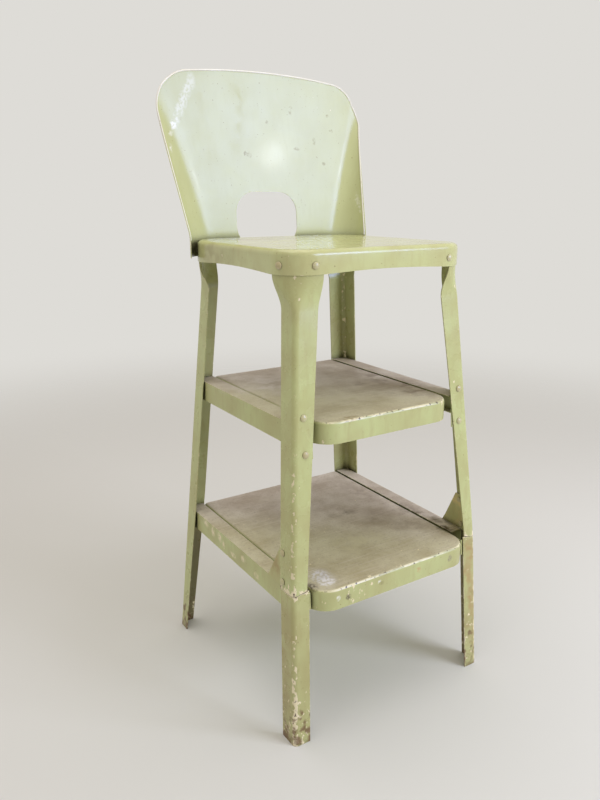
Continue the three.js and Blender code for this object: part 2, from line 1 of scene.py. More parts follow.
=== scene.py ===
# %% [markdown]
# # A child's high chair of pressed steel
#
# The real chair is a handful of thin steel pressings that were riveted together and stove enamelled in
# pale green over a cream primer. Decades of shoes, hands and damp floors then wore it.
#
# Everything here hangs on that story. The pressings come from a fixed frame whose sizes never change.
# This file adds what the eye reads as old enamel: smooth bends, soft dents, gloss, scuffs and chips.

# %% Load the fixed frame
import json
import math

import bmesh
import bpy
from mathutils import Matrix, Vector

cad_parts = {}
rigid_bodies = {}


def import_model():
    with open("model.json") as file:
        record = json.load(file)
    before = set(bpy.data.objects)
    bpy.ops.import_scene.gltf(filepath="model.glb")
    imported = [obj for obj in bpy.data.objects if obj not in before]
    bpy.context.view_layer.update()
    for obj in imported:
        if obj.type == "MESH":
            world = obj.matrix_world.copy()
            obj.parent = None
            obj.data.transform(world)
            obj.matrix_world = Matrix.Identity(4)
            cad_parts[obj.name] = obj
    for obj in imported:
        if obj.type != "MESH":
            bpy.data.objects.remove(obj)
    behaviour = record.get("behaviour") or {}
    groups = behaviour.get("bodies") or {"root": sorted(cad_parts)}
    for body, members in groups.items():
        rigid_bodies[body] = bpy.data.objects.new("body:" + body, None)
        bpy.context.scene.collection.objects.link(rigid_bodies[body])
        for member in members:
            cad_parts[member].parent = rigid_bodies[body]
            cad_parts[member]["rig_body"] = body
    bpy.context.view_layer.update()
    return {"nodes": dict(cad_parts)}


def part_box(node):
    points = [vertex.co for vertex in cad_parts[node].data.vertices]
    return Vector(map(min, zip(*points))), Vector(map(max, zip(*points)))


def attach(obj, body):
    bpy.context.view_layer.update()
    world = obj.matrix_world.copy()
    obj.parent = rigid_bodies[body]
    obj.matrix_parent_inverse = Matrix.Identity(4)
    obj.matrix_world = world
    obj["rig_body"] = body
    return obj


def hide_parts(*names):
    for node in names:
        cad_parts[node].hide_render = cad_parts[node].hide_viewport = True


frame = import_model()
scene = bpy.context.scene
MM = 0.001
print("nodes in the frame:", len(frame["nodes"]))

# %% [markdown]
# ## Three small tools
#
# Colours are easiest to think about as the hex codes of a paint chart. Blender's shaders want linear
# light, so one function turns a code into linear numbers.
#
# A material is a graph of nodes. Adding a node, setting it and wiring it up are the same three moves
# every time, so one function does them. A whole node stands for its first live output and a hex code for
# its colour, which keeps the graphs below short.
#
# An object shows only once it is linked into the scene, so making and linking are one function too.

# %% Helpers for colours, nodes and objects
def linear(code):
    channels = [int(code[i : i + 2], 16) / 255 for i in (1, 3, 5)]
    bent = [c / 12.92 if c <= 0.04045 else ((c + 0.055) / 1.055) ** 2.4 for c in channels]
    return (*bent, 1.0)


def add(tree, kind, links=None, **settings):
    """Adds a node. Settings are its properties. links maps an input to a value, a hex code, a node or an
    output."""
    node = tree.nodes.new("ShaderNode" + kind)
    for name, value in settings.items():
        setattr(node, name, value)
    for name, source in (links or {}).items():
        if isinstance(source, bpy.types.Node):
            source = next(output for output in source.outputs if output.enabled)
        if isinstance(source, bpy.types.NodeSocket):
            tree.links.new(source, node.inputs[name])
        else:
            node.inputs[name].default_value = linear(source) if isinstance(source, str) else source
    return node


def placed(name, data):
    thing = bpy.data.objects.new(name, data)
    scene.collection.objects.link(thing)
    return thing


print("pale green in linear light:", [round(c, 3) for c in linear("#c3ca97")])

# %% [markdown]
# ## The camera
#
# The chair is seen from its front left and a little above the seat, as somebody would who kneels a metre
# away. The camera is placed from the middle of the seat, so it follows the frame.

# %% Camera
SEAT_LOW, SEAT_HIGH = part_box("seat_pan")
SEAT_MIDDLE = (SEAT_LOW + SEAT_HIGH) / 2
EYE_OFFSET = Vector((-0.55682, -0.81445, 0))
EYE_HEIGHT = 0.67577
EYE_TURN = math.radians(32.60)      # from straight ahead towards the chair's right
EYE_DIP = math.radians(15.99)       # below the horizon
LENS = 31.68                        # millimetres, as the sensor's width is
SENSOR = 36

camera_data = bpy.data.cameras.new("camera")
camera_data.lens = LENS
camera_data.sensor_width = SENSOR
camera = placed("camera", camera_data)
camera.location = (SEAT_MIDDLE.x + EYE_OFFSET.x, SEAT_MIDDLE.y + EYE_OFFSET.y, EYE_HEIGHT)
camera.rotation_euler = (math.pi / 2 - EYE_DIP, 0, -EYE_TURN)
scene.camera = camera
print("camera at", [round(c, 3) for c in camera.location])

# %% [markdown]
# ## Floor and room
#
# Product shots of metal need a calm, pale room, because a glossy surface mostly shows what is around it.
# The floor is matt paper. Far from the chair it turns transparent, so it runs into the pale room with no
# horizon. The room gives two things: a warm fill light, and the pale wall that the camera and the
# reflections see.

# %% Room
BACKDROP = "#dedcd7"
world = bpy.data.worlds.new("room")
scene.world = world
world.use_nodes = True
room = world.node_tree
room.nodes.clear()
ray = add(room, "LightPath")
seen = add(room, "Math", {0: ray.outputs["Is Camera Ray"], 1: ray.outputs["Is Glossy Ray"]},
           operation="MAXIMUM")
seen = add(room, "Math", {0: seen, 1: ray.outputs["Is Transmission Ray"]}, operation="MAXIMUM")
fill = add(room, "Background", {"Color": "#fff3e2", "Strength": 0.50})
wall = add(room, "Background", {"Color": BACKDROP, "Strength": 1.0})
either = add(room, "MixShader", {0: seen, 1: fill, 2: wall})
add(room, "OutputWorld", {"Surface": either})
print("nodes in the room:", len(room.nodes))

# %% Floor
FLOOR_REACH = 12.0
FADE_FROM = 0.75         # metres from the chair
FADE_TO = 2.6
floor_mesh = bpy.data.meshes.new("floor")
floor_mesh.from_pydata(
    [(sx * FLOOR_REACH, sy * FLOOR_REACH, 0) for sx, sy in ((-1, -1), (1, -1), (1, 1), (-1, 1))],
    [],
    [(0, 1, 2, 3)],
)
floor = placed("floor", floor_mesh)
paper = bpy.data.materials.new("matt_backdrop_paper")
paper.use_nodes = True
sheet = paper.node_tree
sheet.nodes.clear()
matt = add(sheet, "BsdfPrincipled", {"Base Color": "#dee1e4", "Roughness": 0.9, "Specular IOR Level": 0.0})
spot = add(sheet, "TexCoord").outputs["Object"]
distance = add(sheet, "VectorMath", {0: spot}, operation="LENGTH")
gone = add(sheet, "MapRange", {0: distance, 1: FADE_FROM, 2: FADE_TO}, interpolation_type="SMOOTHERSTEP")
faded = add(sheet, "MixShader", {0: gone, 1: matt, 2: add(sheet, "BsdfTransparent")})
add(sheet, "OutputMaterial", {"Surface": faded})
floor_mesh.materials.append(paper)
print("the floor fades between", FADE_FROM, "and", FADE_TO, "metres from the chair")

# %% [markdown]
# ## Lamps
#
# One big window-like lamp stands ahead and to the right, so front faces are bright and the sides that
# face left fall off. What a lamp lights and what it looks like in a mirror are set apart here: the window
# lights the paint without showing in it, and a cooler pane in the same place shows in the glossy back
# without lighting anything. A small bulb in front of it gives the back its bright spot.

# %% Lamps
def softbox(name, place, size, power, colour, target, lights=True, shows=True):
    lamp = bpy.data.lights.new(name, "AREA")
    lamp.shape = "RECTANGLE"
    lamp.size, lamp.size_y = size
    lamp.energy = power
    lamp.color = linear(colour)[:3]
    stand = placed(name, lamp)
    stand.location = place
    stand.rotation_euler = (Vector(target) - Vector(place)).to_track_quat("-Z", "Y").to_euler()
    stand.visible_diffuse = lights
    stand.visible_glossy = shows


WINDOW_AT = (0.98, -1.55, 1.15)
WINDOW_SIZE = (0.85, 0.80)
BACK_MIDDLE = (0, 0.15, 0.72)
BRIGHT_SPOT = (0, 0.15, 0.74)       # on the backrest
CHAIR_MIDDLE = (0, 0, 0.4)
softbox("window", WINDOW_AT, WINDOW_SIZE, 21, "#f2f5ff", BACK_MIDDLE, shows=False)
softbox("window_pane", WINDOW_AT, WINDOW_SIZE, 37, "#abbfff", BACK_MIDDLE, lights=False)
softbox("bulb", (1.02, -1.52, 1.10), (0.06, 0.06), 0.16, "#ffffff", BRIGHT_SPOT, lights=False)
softbox("ceiling", (-0.2, 0.1, 2.6), (2.2, 2.2), 26, "#fff8ee", CHAIR_MIDDLE)
print("lamps:", [lamp.name for lamp in bpy.data.lights])

# %% [markdown]
# ## Sheet metal with real bends
#
# The frame's solids are built of flat facets. A pressing has no facets: its bends are round, and its cut
# edges are slightly rounded by the shears and the paint. A plain piece is therefore a copy of its frame
# solid: its facets are welded into one skin and shaded as round where they meet at a shallow angle, and
# its cut edges get a small bevel. Weighted normals keep the flats flat, so a bend shows as a crisp narrow
# highlight. The outline stays where the frame put it.

# %% From a bare mesh to a finished sheet
ROUND_BELOW = math.radians(38)      # facets that meet more squarely than this stay a sharp edge
CUT_EDGE = 0.35 * MM
CUT_ABOVE = math.radians(60)
FLAT_WEIGHT = 90                    # of 100: large faces decide the normals
pieces = {}


def finish_sheet(node, form):
    """Makes a bmesh into the object that stands for a frame node."""
    for face in form.faces:
        face.smooth = True
    for edge in form.edges:
        edge.smooth = edge.calc_face_angle(0) < ROUND_BELOW
    mesh = bpy.data.meshes.new(node + "_sheet")
    form.to_mesh(mesh)
    form.free()
    piece = placed(node + "_sheet", mesh)
    bevel = piece.modifiers.new("cut edge", "BEVEL")
    bevel.width = CUT_EDGE
    bevel.segments = 2
    bevel.limit_method = "ANGLE"
    bevel.angle_limit = CUT_ABOVE
    bevel.use_clamp_overlap = True
    flats = piece.modifiers.new("flat flats", "WEIGHTED_NORMAL")
    flats.mode = "FACE_AREA"
    flats.weight = FLAT_WEIGHT
    flats.keep_sharp = True
    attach(piece, frame["nodes"][node]["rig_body"])
    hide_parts(node)
    pieces[node] = piece
    return piece


# %% A copy of a frame solid, and a skin over rings
WELD = 0.002 * MM
FLAT_WITHIN = math.radians(0.4)     # facets this near to one plane become one face


def skin(node):
    """A smooth-skinned copy of a frame node."""
    source = frame["nodes"][node].data
    form = bmesh.new()
    corners = [form.verts.new(v.co) for v in source.vertices]
    for polygon in source.polygons:
        form.faces.new([corners[i] for i in polygon.vertices])
    bmesh.ops.remove_doubles(form, verts=form.verts[:], dist=WELD)
    bmesh.ops.dissolve_degenerate(form, edges=form.edges[:], dist=WELD)
    bmesh.ops.dissolve_limit(form, angle_limit=FLAT_WITHIN, verts=form.verts[:], edges=form.edges[:])
    return finish_sheet(node, form)


def stitched(rings):
    """A closed skin over rings. Its ends are ladders between a ring's two halves, so a ring may run out
    along one face of a sheet and back along the other."""
    form = bmesh.new()
    rows = [[form.verts.new(point) for point in ring] for ring in rings]
    count = len(rows[0])
    for below, above in zip(rows, rows[1:]):
        for i in range(count):
            j = (i + 1) % count
            form.faces.new((below[i], below[j], above[j], above[i]))
    for row in (rows[0], rows[-1]):
        for i in range(count // 2 - 1):
            form.faces.new((row[i], row[i + 1], row[count - 2 - i], row[count - 1 - i]))
    bmesh.ops.recalc_face_normals(form, faces=form.faces[:])
    return form


def mixed(a, b, share):
    return a + (b - a) * share


print("facets weld within", WELD / MM, "mm")

# %% [markdown]
# ## The backrest
#
# One sheet makes the whole backrest. Its middle is a flat panel that leans back from the seat. Past a
# crease on each side the sheet curls forwards into a wing, which is deep at the seat and runs out at the
# top. A quadratic curve draws that curl at each height: its handles lie on the panel, so it leaves the
# panel smoothly.
#
# It is drawn as a fine grid of points, because the eye follows long soft reflections on it and would see
# every facet. Each point comes from its share of the way across and its height above the seat.

# %% The backrest's form
SHEET = 1.2 * MM
BACK_LOW, BACK_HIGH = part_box("backrest")
BACK_RISE = BACK_HIGH.z - SEAT_HIGH.z
BACK_LAP = SEAT_HIGH.z - BACK_LOW.z
BACK_BEND = 12 * MM                 # height over which the sheet turns to its lean
BACK_LEAN = 0.075                   # backwards, per unit of height
BACK_CROWN = 14.5 * MM              # drop of the top edge from the middle to the sides
BACK_CORNER = 57 * MM
PANEL_AT = SEAT_HIGH.y + 0.3 * MM
CREASE_INSET = {1: 36 * MM, -1: 51 * MM}    # the left wing was curled a little wider
CREASE_FLARE = 0.263
WING_LEAN = 0.324
WING_FLARE = 0.121
WING_FADE = 8 * MM
WING_STANDOFF = 9.4 * MM
WING_REACH = 41 * MM
WING_SHOULDER = 2 * MM


def lean_rise(height):
    start = min(max(height, 0), BACK_BEND)
    return start * start / (2 * BACK_BEND) + max(height - BACK_BEND, 0)


def wing_plan(side, rise, share):
    """Place and heading on the inner face in plan, from the panel (share 0) to the wing's edge (1)."""
    panel = PANEL_AT + BACK_LEAN * rise
    reach = panel - (SEAT_HIGH.y - WING_REACH + WING_LEAN * rise)
    forward = (reach + math.hypot(reach, WING_FADE)) / 2
    out = SEAT_HIGH.x + WING_FLARE * rise
    crease = Vector((SEAT_HIGH.x - CREASE_INSET[side] + CREASE_FLARE * rise, panel))
    shoulder = Vector((out - WING_SHOULDER, panel))
    tip = Vector((out + WING_STANDOFF, panel - forward))
    first, second = crease.lerp(shoulder, share), shoulder.lerp(tip, share)
    return first.lerp(second, share), (second - first).normalized()


def sheet_point(side, panel_share, wing_share, height, depth):
    spot, heading = wing_plan(side, lean_rise(height), wing_share)
    x = (spot.x - heading.y * depth) * panel_share
    return Vector((side * x, spot.y + heading.x * depth, SEAT_HIGH.z + height))


print("the backrest rises", round(BACK_RISE / MM), "mm above the seat")

# %% Lines and rows of its grid
PANEL_LINES = 22
WING_LINES = 22
PLAN_STEPS = 60                     # for measuring a wing's length
LEAN_ROWS = 36
BEND_ROWS = 6


def sheet_lines(side):
    """Lines up the sheet from its middle: share of the panel, share of the wing, distance to the edge."""
    height = BACK_RISE - BACK_CORNER / 2
    plan = [wing_plan(side, height, k / PLAN_STEPS)[0] for k in range(PLAN_STEPS + 1)]
    wing = sum((b - a).length for a, b in zip(plan, plan[1:]))
    lines = [(k / PANEL_LINES, 0, wing + plan[0].x * (1 - k / PANEL_LINES)) for k in range(PANEL_LINES)]
    for k in range(WING_LINES + 1):
        share = math.sin(math.pi / 2 * k / WING_LINES)
        lines.append((1, share, wing * (1 - share)))
    return lines


def top_of(from_edge, half):
    crown = BACK_CROWN * (1 - from_edge / half) ** 2
    in_corner = max(BACK_CORNER - from_edge, 0)
    return BACK_RISE - crown - BACK_CORNER + math.sqrt(BACK_CORNER**2 - in_corner**2)


LINES = {side: sheet_lines(side) for side in (-1, 1)}
HALF = {side: LINES[side][0][2] for side in (-1, 1)}
ACROSS = [(-1, *line) for line in LINES[-1][:0:-1]] + [(1, *line) for line in LINES[1]]
heights = [lambda top: -BACK_LAP, lambda top: -BACK_LAP / 2]
heights += [lambda top, k=k: BACK_BEND * k / BEND_ROWS for k in range(BEND_ROWS)]
heights += [lambda top, k=k: mixed(BACK_BEND, top, k / LEAN_ROWS) for k in range(LEAN_ROWS + 1)]


def sheet_row(height_of, depth):
    row = []
    for side, panel_share, wing_share, from_edge in ACROSS:
        height = height_of(top_of(from_edge, HALF[side]))
        row.append(sheet_point(side, panel_share, wing_share, height, depth))
    return row


back_form = stitched([sheet_row(h, 0) + sheet_row(h, SHEET)[::-1] for h in heights])
backrest = finish_sheet("backrest", back_form)
print("backrest points:", len(backrest.data.vertices))

# %% [markdown]
# ## The hand hole
#
# The hole was punched in one stroke, so its edge is clean and its corners are round. A boolean does the
# same with a block in the hole's outline. It is applied before the sheet's own bevel, so that the hole's
# edge is softened like every other cut edge.

# %% The hand hole
HOLE_WIDTH = 105 * MM
HOLE_RISE = 65 * MM
HOLE_DROP = 10 * MM
HOLE_CORNER = 31 * MM
HOLE_FOOT = 24 * MM                 # radius of the lower corners
HOLE_SHIFT = -4 * MM                # it was punched a little to the left
HOLE_STEPS = 16                     # in each corner
CUT_FROM = SEAT_MIDDLE.y
CUT_TO = 0.3                        # well behind the sheet


def hole_outline():
    half = HOLE_WIDTH / 2
    points = []
    for x, z, radius, start in (
        (half - HOLE_CORNER, HOLE_RISE - HOLE_CORNER, HOLE_CORNER, 0),
        (HOLE_CORNER - half, HOLE_RISE - HOLE_CORNER, HOLE_CORNER, 90),
        (HOLE_FOOT - half, HOLE_FOOT - HOLE_DROP, HOLE_FOOT, 180),
        (half - HOLE_FOOT, HOLE_FOOT - HOLE_DROP, HOLE_FOOT, 270),
    ):
        for k in range(HOLE_STEPS + 1):
            angle = math.radians(start + 90 * k / HOLE_STEPS)
            place = Vector((x, z)) + radius * Vector((math.cos(angle), math.sin(angle)))
            points.append((HOLE_SHIFT + place.x, SEAT_HIGH.z + place.y))
    return points


block = stitched([[(x, y, z) for x, z in hole_outline()] for y in (CUT_FROM, CUT_TO)])
cutter = placed("hand_hole_cutter", bpy.data.meshes.new("hand_hole_cutter"))
block.to_mesh(cutter.data)
block.free()
cut = backrest.modifiers.new("hand hole", "BOOLEAN")
cut.operation = "DIFFERENCE"
cut.solver = "EXACT"
cut.object = cutter
backrest.modifiers.move(len(backrest.modifiers) - 1, 0)
with bpy.context.temp_override(object=backrest, active_object=backrest):
    bpy.ops.object.modifier_apply(modifier="hand hole")
bpy.data.objects.remove(cutter)
backrest.data.set_sharp_from_angle(angle=ROUND_BELOW)
print("backrest points with the hole:", len(backrest.data.vertices))

# %% [markdown]
# ## The rolled edge
#
# A cut sheet edge would scratch small hands, so the backrest's free edge is rolled over into a thin bead.
# It catches the light as a fine bright line. A curve with a round bevel draws it along the grid's outer
# line, and the curve is then turned into a mesh of its own.

# %% The rolled edge
BEAD = 1.15 * MM                    # its radius
BEAD_SHARE = 0.97                   # share of the wing that its middle reaches
BEAD_DEPTH = SHEET - BEAD           # flush with the back of the sheet
CLIMB_STEPS = 24                    # up each side
over_top = []
for side, panel_share, wing_share, from_edge in ACROSS:
    height = top_of(from_edge, HALF[side]) - BEAD
    share = min(wing_share, BEAD_SHARE)
    over_top.append(sheet_point(side, panel_share, share, height, BEAD_DEPTH))
climb = [top_of(0, 1) * k / CLIMB_STEPS for k in range(CLIMB_STEPS)]
left_edge = [sheet_point(-1, 1, BEAD_SHARE, h, BEAD_DEPTH) for h in climb]
right_edge = [sheet_point(1, 1, BEAD_SHARE, h, BEAD_DEPTH) for h in climb[::-1]]
path = left_edge + over_top + right_edge

wire = bpy.data.curves.new("rolled_edge", "CURVE")
wire.dimensions = "3D"
wire.bevel_depth = BEAD
wire.bevel_resolution = 3
wire.use_fill_caps = True
line = wire.splines.new("POLY")
line.points.add(len(path) - 1)
for point, place in zip(line.points, path):
    point.co = (*place, 1)
line.use_smooth = True
wire_object = bpy.data.objects.new("rolled_edge", wire)
bead = placed("backrest_rolled_edge", bpy.data.meshes.new_from_object(wire_object))
bpy.data.objects.remove(wire_object)
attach(bead, frame["nodes"]["backrest"]["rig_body"])
print("rolled edge points:", len(path))

# %% [markdown]
# ## The legs
#
# The legs are strips of thicker sheet, bent into an angle. A strip is nearly as wide all the way up, but
# its fold is tight along the leg and opens out under the seat until it fits the seat's own corner. So the
# flanges seem to melt into the corner, and their free edges sweep in towards it.
#
# The easiest way to draw that is to walk along the strip's section. A station is a distance from the
# middle of the fold, measured along the sheet: near zero it lies on the fold's arc, and past the arc's end
# it lies on a flange. Many levels of one section, joined up, make the strip.

# %% Sections of a leg
LEG_GAUGE = 1.6 * MM
LEG_FOLD = 7 * MM                   # outer radius
SKIRT_GAP = 1.5 * MM                # the leg lies against the inside of the seat's skirt
OPENING = 42 * MM                   # height over which the fold opens
FOOT_OF_SKIRT = SEAT_LOW.z
SEAM = 0.3 * MM
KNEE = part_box("front_left_lower_leg")[1].z + SEAM
KNEE_DIP = 4 * MM                   # the seam is lower at the fold
SEAT_HALF = (SEAT_HIGH - SEAT_LOW) / 2
FOLD_LIMIT = 0.8                    # share of a flange that its half of the fold may take
LEG_STEPS = 12
OPENING_STEPS = 16
FOLD_STEPS = 12
FLANGE_STEPS = 4


def eased(value, low, high):
    share = min(max((value - low) / (high - low), 0), 1)
    return share * share * (3 - 2 * share)


def on_section(station, depth, fold):
    """Where a station lies, from the section's outer corner, at a depth in the sheet."""
    half_arc = fold * math.pi / 4
    turn = max(min(station / fold, math.pi / 4), -math.pi / 4) + math.pi / 4
    past = max(abs(station) - half_arc, 0)
    x = -fold + (fold - depth) * math.sin(turn)
    y = -fold + (fold - depth) * math.cos(turn)
    return (x - past, y) if station < 0 else (x, y - past)


def stations_across(half_arc, across, along):
    """Close together on the fold and wider apart on the flanges."""
    first = min(half_arc, FOLD_LIMIT * across)
    last = min(half_arc, FOLD_LIMIT * along)
    stations = [-mixed(across, first, k / FLANGE_STEPS) for k in range(FLANGE_STEPS)]
    stations += [mixed(-first, last, k / FOLD_STEPS) for k in range(FOLD_STEPS + 1)]
    return stations + [mixed(last, along, k / FLANGE_STEPS) for k in range(1, FLANGE_STEPS + 1)]


print("the seam is", round(KNEE / MM, 1), "mm above the floor")

# %% One leg's strip
def leg_strip(node, low, high, corner_at, seat_corner, across_at, along_at, sides, dips=()):
    """The strip between two heights. A station below zero lies across the chair's front or back, one above
    zero along its side. across_at and along_at give the flanges, and dips the levels that the seam bends."""
    below_seat = FOOT_OF_SKIRT - OPENING
    in_skirt = Vector((SEAT_HALF.x - SKIRT_GAP, SEAT_HALF.y - SKIRT_GAP))
    levels = [mixed(low, min(high, below_seat), k / LEG_STEPS) for k in range(LEG_STEPS + 1)]
    if high > below_seat:
        levels += [below_seat + OPENING * k / OPENING_STEPS for k in range(1, OPENING_STEPS + 1)] + [high]
    rings = []
    for z in levels:
        opened = eased(z, below_seat, FOOT_OF_SKIRT)
        corner = corner_at(min(z, FOOT_OF_SKIRT)).lerp(in_skirt, opened)
        fold = mixed(LEG_FOLD, seat_corner - SKIRT_GAP, opened)
        stations = stations_across(fold * math.pi / 4, across_at(z, opened), along_at(z, opened))
        places = [on_section(s, 0, fold) for s in stations]
        places += [on_section(s, LEG_GAUGE, fold) for s in reversed(stations)]
        end = places[0][0]
        ring = []
        for x, y in places:
            dip = KNEE_DIP * (1 - x / end) if z in dips else 0
            ring.append((sides[0] * (corner.x + x), SEAT_MIDDLE.y + sides[1] * (corner.y + y), z - dip))
        rings.append(ring)
    return finish_sheet(node, stitched(rings))


print("the folds open over the top", round(OPENING / MM), "mm")

# %% [markdown]
# ## Six strips make four legs
#
# A front leg is two strips: the upper one hangs from the seat, and the lower one belongs to the lower step
# and leaves with it when the step is pulled out. A back leg is one strip. They all splay, so a leg's corner
# moves in a straight line from its foot to the seat's skirt.

# %% Sizes and lines of the legs
LEG_TOP = SEAT_HIGH.z - 9 * MM
FRONT_INSET = Vector((14 * MM, 8 * MM))         # from the seat's outline to a leg's fold, at the skirt
BACK_INSET = Vector((16 * MM, 16.5 * MM))
FRONT_SEAT_CORNER = 40 * MM
BACK_SEAT_CORNER = 51 * MM
FOLD_SHARE = LEG_FOLD * (math.pi / 4 - 1)       # turns a flange's width into a station
FRONT_FLANGE = {"skirt": 34 * MM, "knee": 21 * MM, "foot": 24 * MM}
SIDE_FLANGE = {"front": 30 * MM, "foot": 29 * MM, "back": 30 * MM, "back_foot": 24 * MM}
BACK_FLANGE = {"skirt": 29 * MM, "foot": 22 * MM}
# how far a strip wraps round the seat's corner: it was not set quite the same at each corner
FRONT_WRAP = {-1: (40 * MM, 29 * MM), 1: (25 * MM, 39 * MM)}
BACK_WRAP = (34 * MM, 20 * MM)


def outermost(node):
    low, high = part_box(node)
    return Vector((max(-low.x, high.x), max(SEAT_MIDDLE.y - low.y, high.y - SEAT_MIDDLE.y)))


front_skirt = Vector((SEAT_HALF.x, SEAT_HALF.y)) - FRONT_INSET
front_knee = outermost("front_left_upper_leg")
front_foot = outermost("front_left_lower_leg")
back_skirt = Vector((SEAT_HALF.x, SEAT_HALF.y)) - BACK_INSET
back_foot = outermost("back_left_leg")


def front_corner(z):
    if z < KNEE:
        return front_foot.lerp(front_knee, z / KNEE)
    return front_knee.lerp(front_skirt, (z - KNEE) / (FOOT_OF_SKIRT - KNEE))


def back_corner(z):
    return back_foot.lerp(back_skirt, z / FOOT_OF_SKIRT)


def back_across(z, opened):
    flange = mixed(BACK_FLANGE["foot"], BACK_FLANGE["skirt"], min(z / KNEE, 1))
    return mixed(flange + FOLD_SHARE, BACK_WRAP[0], opened)


def back_along(z, opened):
    flange = mixed(SIDE_FLANGE["back_foot"], SIDE_FLANGE["back"], min(z / KNEE, 1))
    return mixed(flange + FOLD_SHARE, BACK_WRAP[1], opened)


print("a front leg's corner at the floor:", [round(c / MM) for c in front_foot], "mm from the middle")

# %% The strips
for side, x in (("left", -1), ("right", 1)):
    wrap = FRONT_WRAP[x]

    def front_across(z, opened):
        share = (z - KNEE) / (FOOT_OF_SKIRT - KNEE)
        flange = mixed(FRONT_FLANGE["knee"], FRONT_FLANGE["skirt"], share)
        return mixed(flange + FOLD_SHARE, wrap[0], opened)

    leg_strip(f"front_{side}_upper_leg", KNEE, LEG_TOP, front_corner, FRONT_SEAT_CORNER, front_across,
              lambda z, opened: mixed(SIDE_FLANGE["front"] + FOLD_SHARE, wrap[1], opened), (x, -1), [KNEE])
    leg_strip(f"front_{side}_lower_leg", 0, KNEE - SEAM, front_corner, FRONT_SEAT_CORNER,
              lambda z, opened: FRONT_FLANGE["foot"] + FOLD_SHARE,
              lambda z, opened: SIDE_FLANGE["foot"] + FOLD_SHARE, (x, -1), [KNEE - SEAM])
    leg_strip(f"back_{side}_leg", 0, LEG_TOP, back_corner, BACK_SEAT_CORNER, back_across, back_along,
              (x, 1))
print("legs:", sorted(node for node in pieces if node.endswith("leg")))

# %% [markdown]
# ## Seat, steps, rails and rivets
#
# The frame already has these in their true form, so their skins are copied as they are. Only the lower
# rails change. Their front ends reach a little further in behind the legs, which closes a slit of daylight
# between rail and leg.

# %% The rest of the pieces
for node in sorted(frame["nodes"]):
    if node not in pieces:
        skin(node)
print("pieces:", len(pieces))

# %% The lower rails' front ends
RAIL_REACH = 6 * MM
RAIL_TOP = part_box("lower_step")[1].z
RAIL_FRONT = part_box("front_left_lower_leg")[1].y
NEAR = 0.6 * MM                     # of the front end as the frame has it
moved = 0
for side in ("left", "right"):
    for corner in pieces[f"lower_{side}_rail"].data.vertices:
        if abs(corner.co.y - RAIL_FRONT) < NEAR and corner.co.z < RAIL_TOP + NEAR:
            corner.co.y -= RAIL_REACH
            moved += 1
print("corners of the rails moved:", moved)

# %% [markdown]
# ## Old stove enamel
#
# Enamel is a glassy paint: a coloured layer with a smooth, hard surface that mirrors softly. Here it is
# built up in order, with one short function for each layer: yellowing, painted shade with thin paint on the
# legs' inner faces, smudges (a few of them painted shade or reflection), painted shade with dirt in
# crevices, chips, rust and scuffs. Sizes of patterns are in millimetres, because Blender's noise has about
# one blotch for each 1 / scale metres.

# %% Colours under and on the paint
PRIMER = "#efe6c8"
BARE_STEEL = "#57473a"
# painted shade in corners and crevices, together with the dirt there
CREVICE_SHADE_AND_GRIME = "#3f3a26"
SPECK = "#7b6440"
RUST = "#6f4c33"
# painted shade with thin paint, on the legs' inner faces
SHADE_AND_BARE_INSIDE = "#5d4a34"
print("cream primer in linear light:", [round(c, 3) for c in linear(PRIMER)])

# %% [markdown]
# ## Where a point is and how it faces
#
# Every layer asks the same few things of a point, so they are worked out once. Its place is in object
# coordinates, which agree with the frame while the chair is closed and then travel with the piece. The
# seed shifts the patterns, so that no two finishes are spotted alike. Marks lie only on faces that look up
# or forwards, the seen ones.

# %% Facts about a point
SEEN_FROM = (-0.3, -1, 1)   # above and in front, a little from the left


def survey(tree, seed):
    place = add(tree, "TexCoord").outputs["Object"]
    here = add(tree, "Mapping", {"Vector": place, "Location": (seed, seed * 0.7, seed * 0.3)})
    normal = add(tree, "NewGeometry").outputs["Normal"]
    toward = add(tree, "VectorMath", {0: normal, 1: SEEN_FROM}, operation="DOT_PRODUCT")
    return {
        "place": place,
        "here": here,
        "upright": add(tree, "Mapping", {"Vector": here, "Scale": (1, 1, 0.25)}),
        "stretched": add(tree, "Mapping", {"Vector": here, "Scale": (1, 1, 0.6)}),
        "height": add(tree, "SeparateXYZ", {0: place}).outputs["Z"],
        "normal": normal,
        "seen": add(tree, "MapRange", {0: toward, 1: 0.05, 2: 0.2}),
    }


print("seen from", SEEN_FROM)

# %% [markdown]
# ## The green, yellowed, and painted shade inside the legs
#
# Old enamel isn't one colour. Two noises of different size mix it with its own yellowed shade. Streaks are
# the same noise, squeezed so that they stand upright, as a cloth rubs. The legs' inner faces are browned
# below the knee, as painted shade with thin paint.

# %% Colour of the paint
def yellowed(tree, point, fresh, aged):
    """Clouds 50 mm across, rubbed streaks of 7 mm by 28 mm, and specks of about 1 mm."""
    clouds = add(tree, "TexNoise", {"Vector": point["here"], "Scale": 1 / (50 * MM), "Detail": 2.0})
    cloudy = add(tree, "MapRange", {0: clouds, 1: 0.35, 2: 0.70, 4: 0.75})
    colour = add(tree, "Mix", {0: cloudy, 6: fresh, 7: aged}, data_type="RGBA")
    rubs = add(tree, "TexNoise", {"Vector": point["upright"], "Scale": 1 / (7 * MM), "Detail": 4.0})
    rubbed = add(tree, "MapRange", {0: rubs, 1: 0.50, 2: 0.75, 4: 0.5})
    colour = add(tree, "Mix", {0: rubbed, 6: colour, 7: aged}, data_type="RGBA")
    specks = add(tree, "TexNoise", {"Vector": point["here"], "Scale": 1 / (2.4 * MM), "Detail": 1.0})
    speckled = add(tree, "MapRange", {0: specks, 1: 0.74, 2: 0.80, 4: 0.8})
    return add(tree, "Mix", {0: speckled, 6: colour, 7: SPECK}, data_type="RGBA")


SHADE_AND_THIN_OVER = 60 * MM         # the painted shade and thin paint inside a leg grow over this height, below the knee
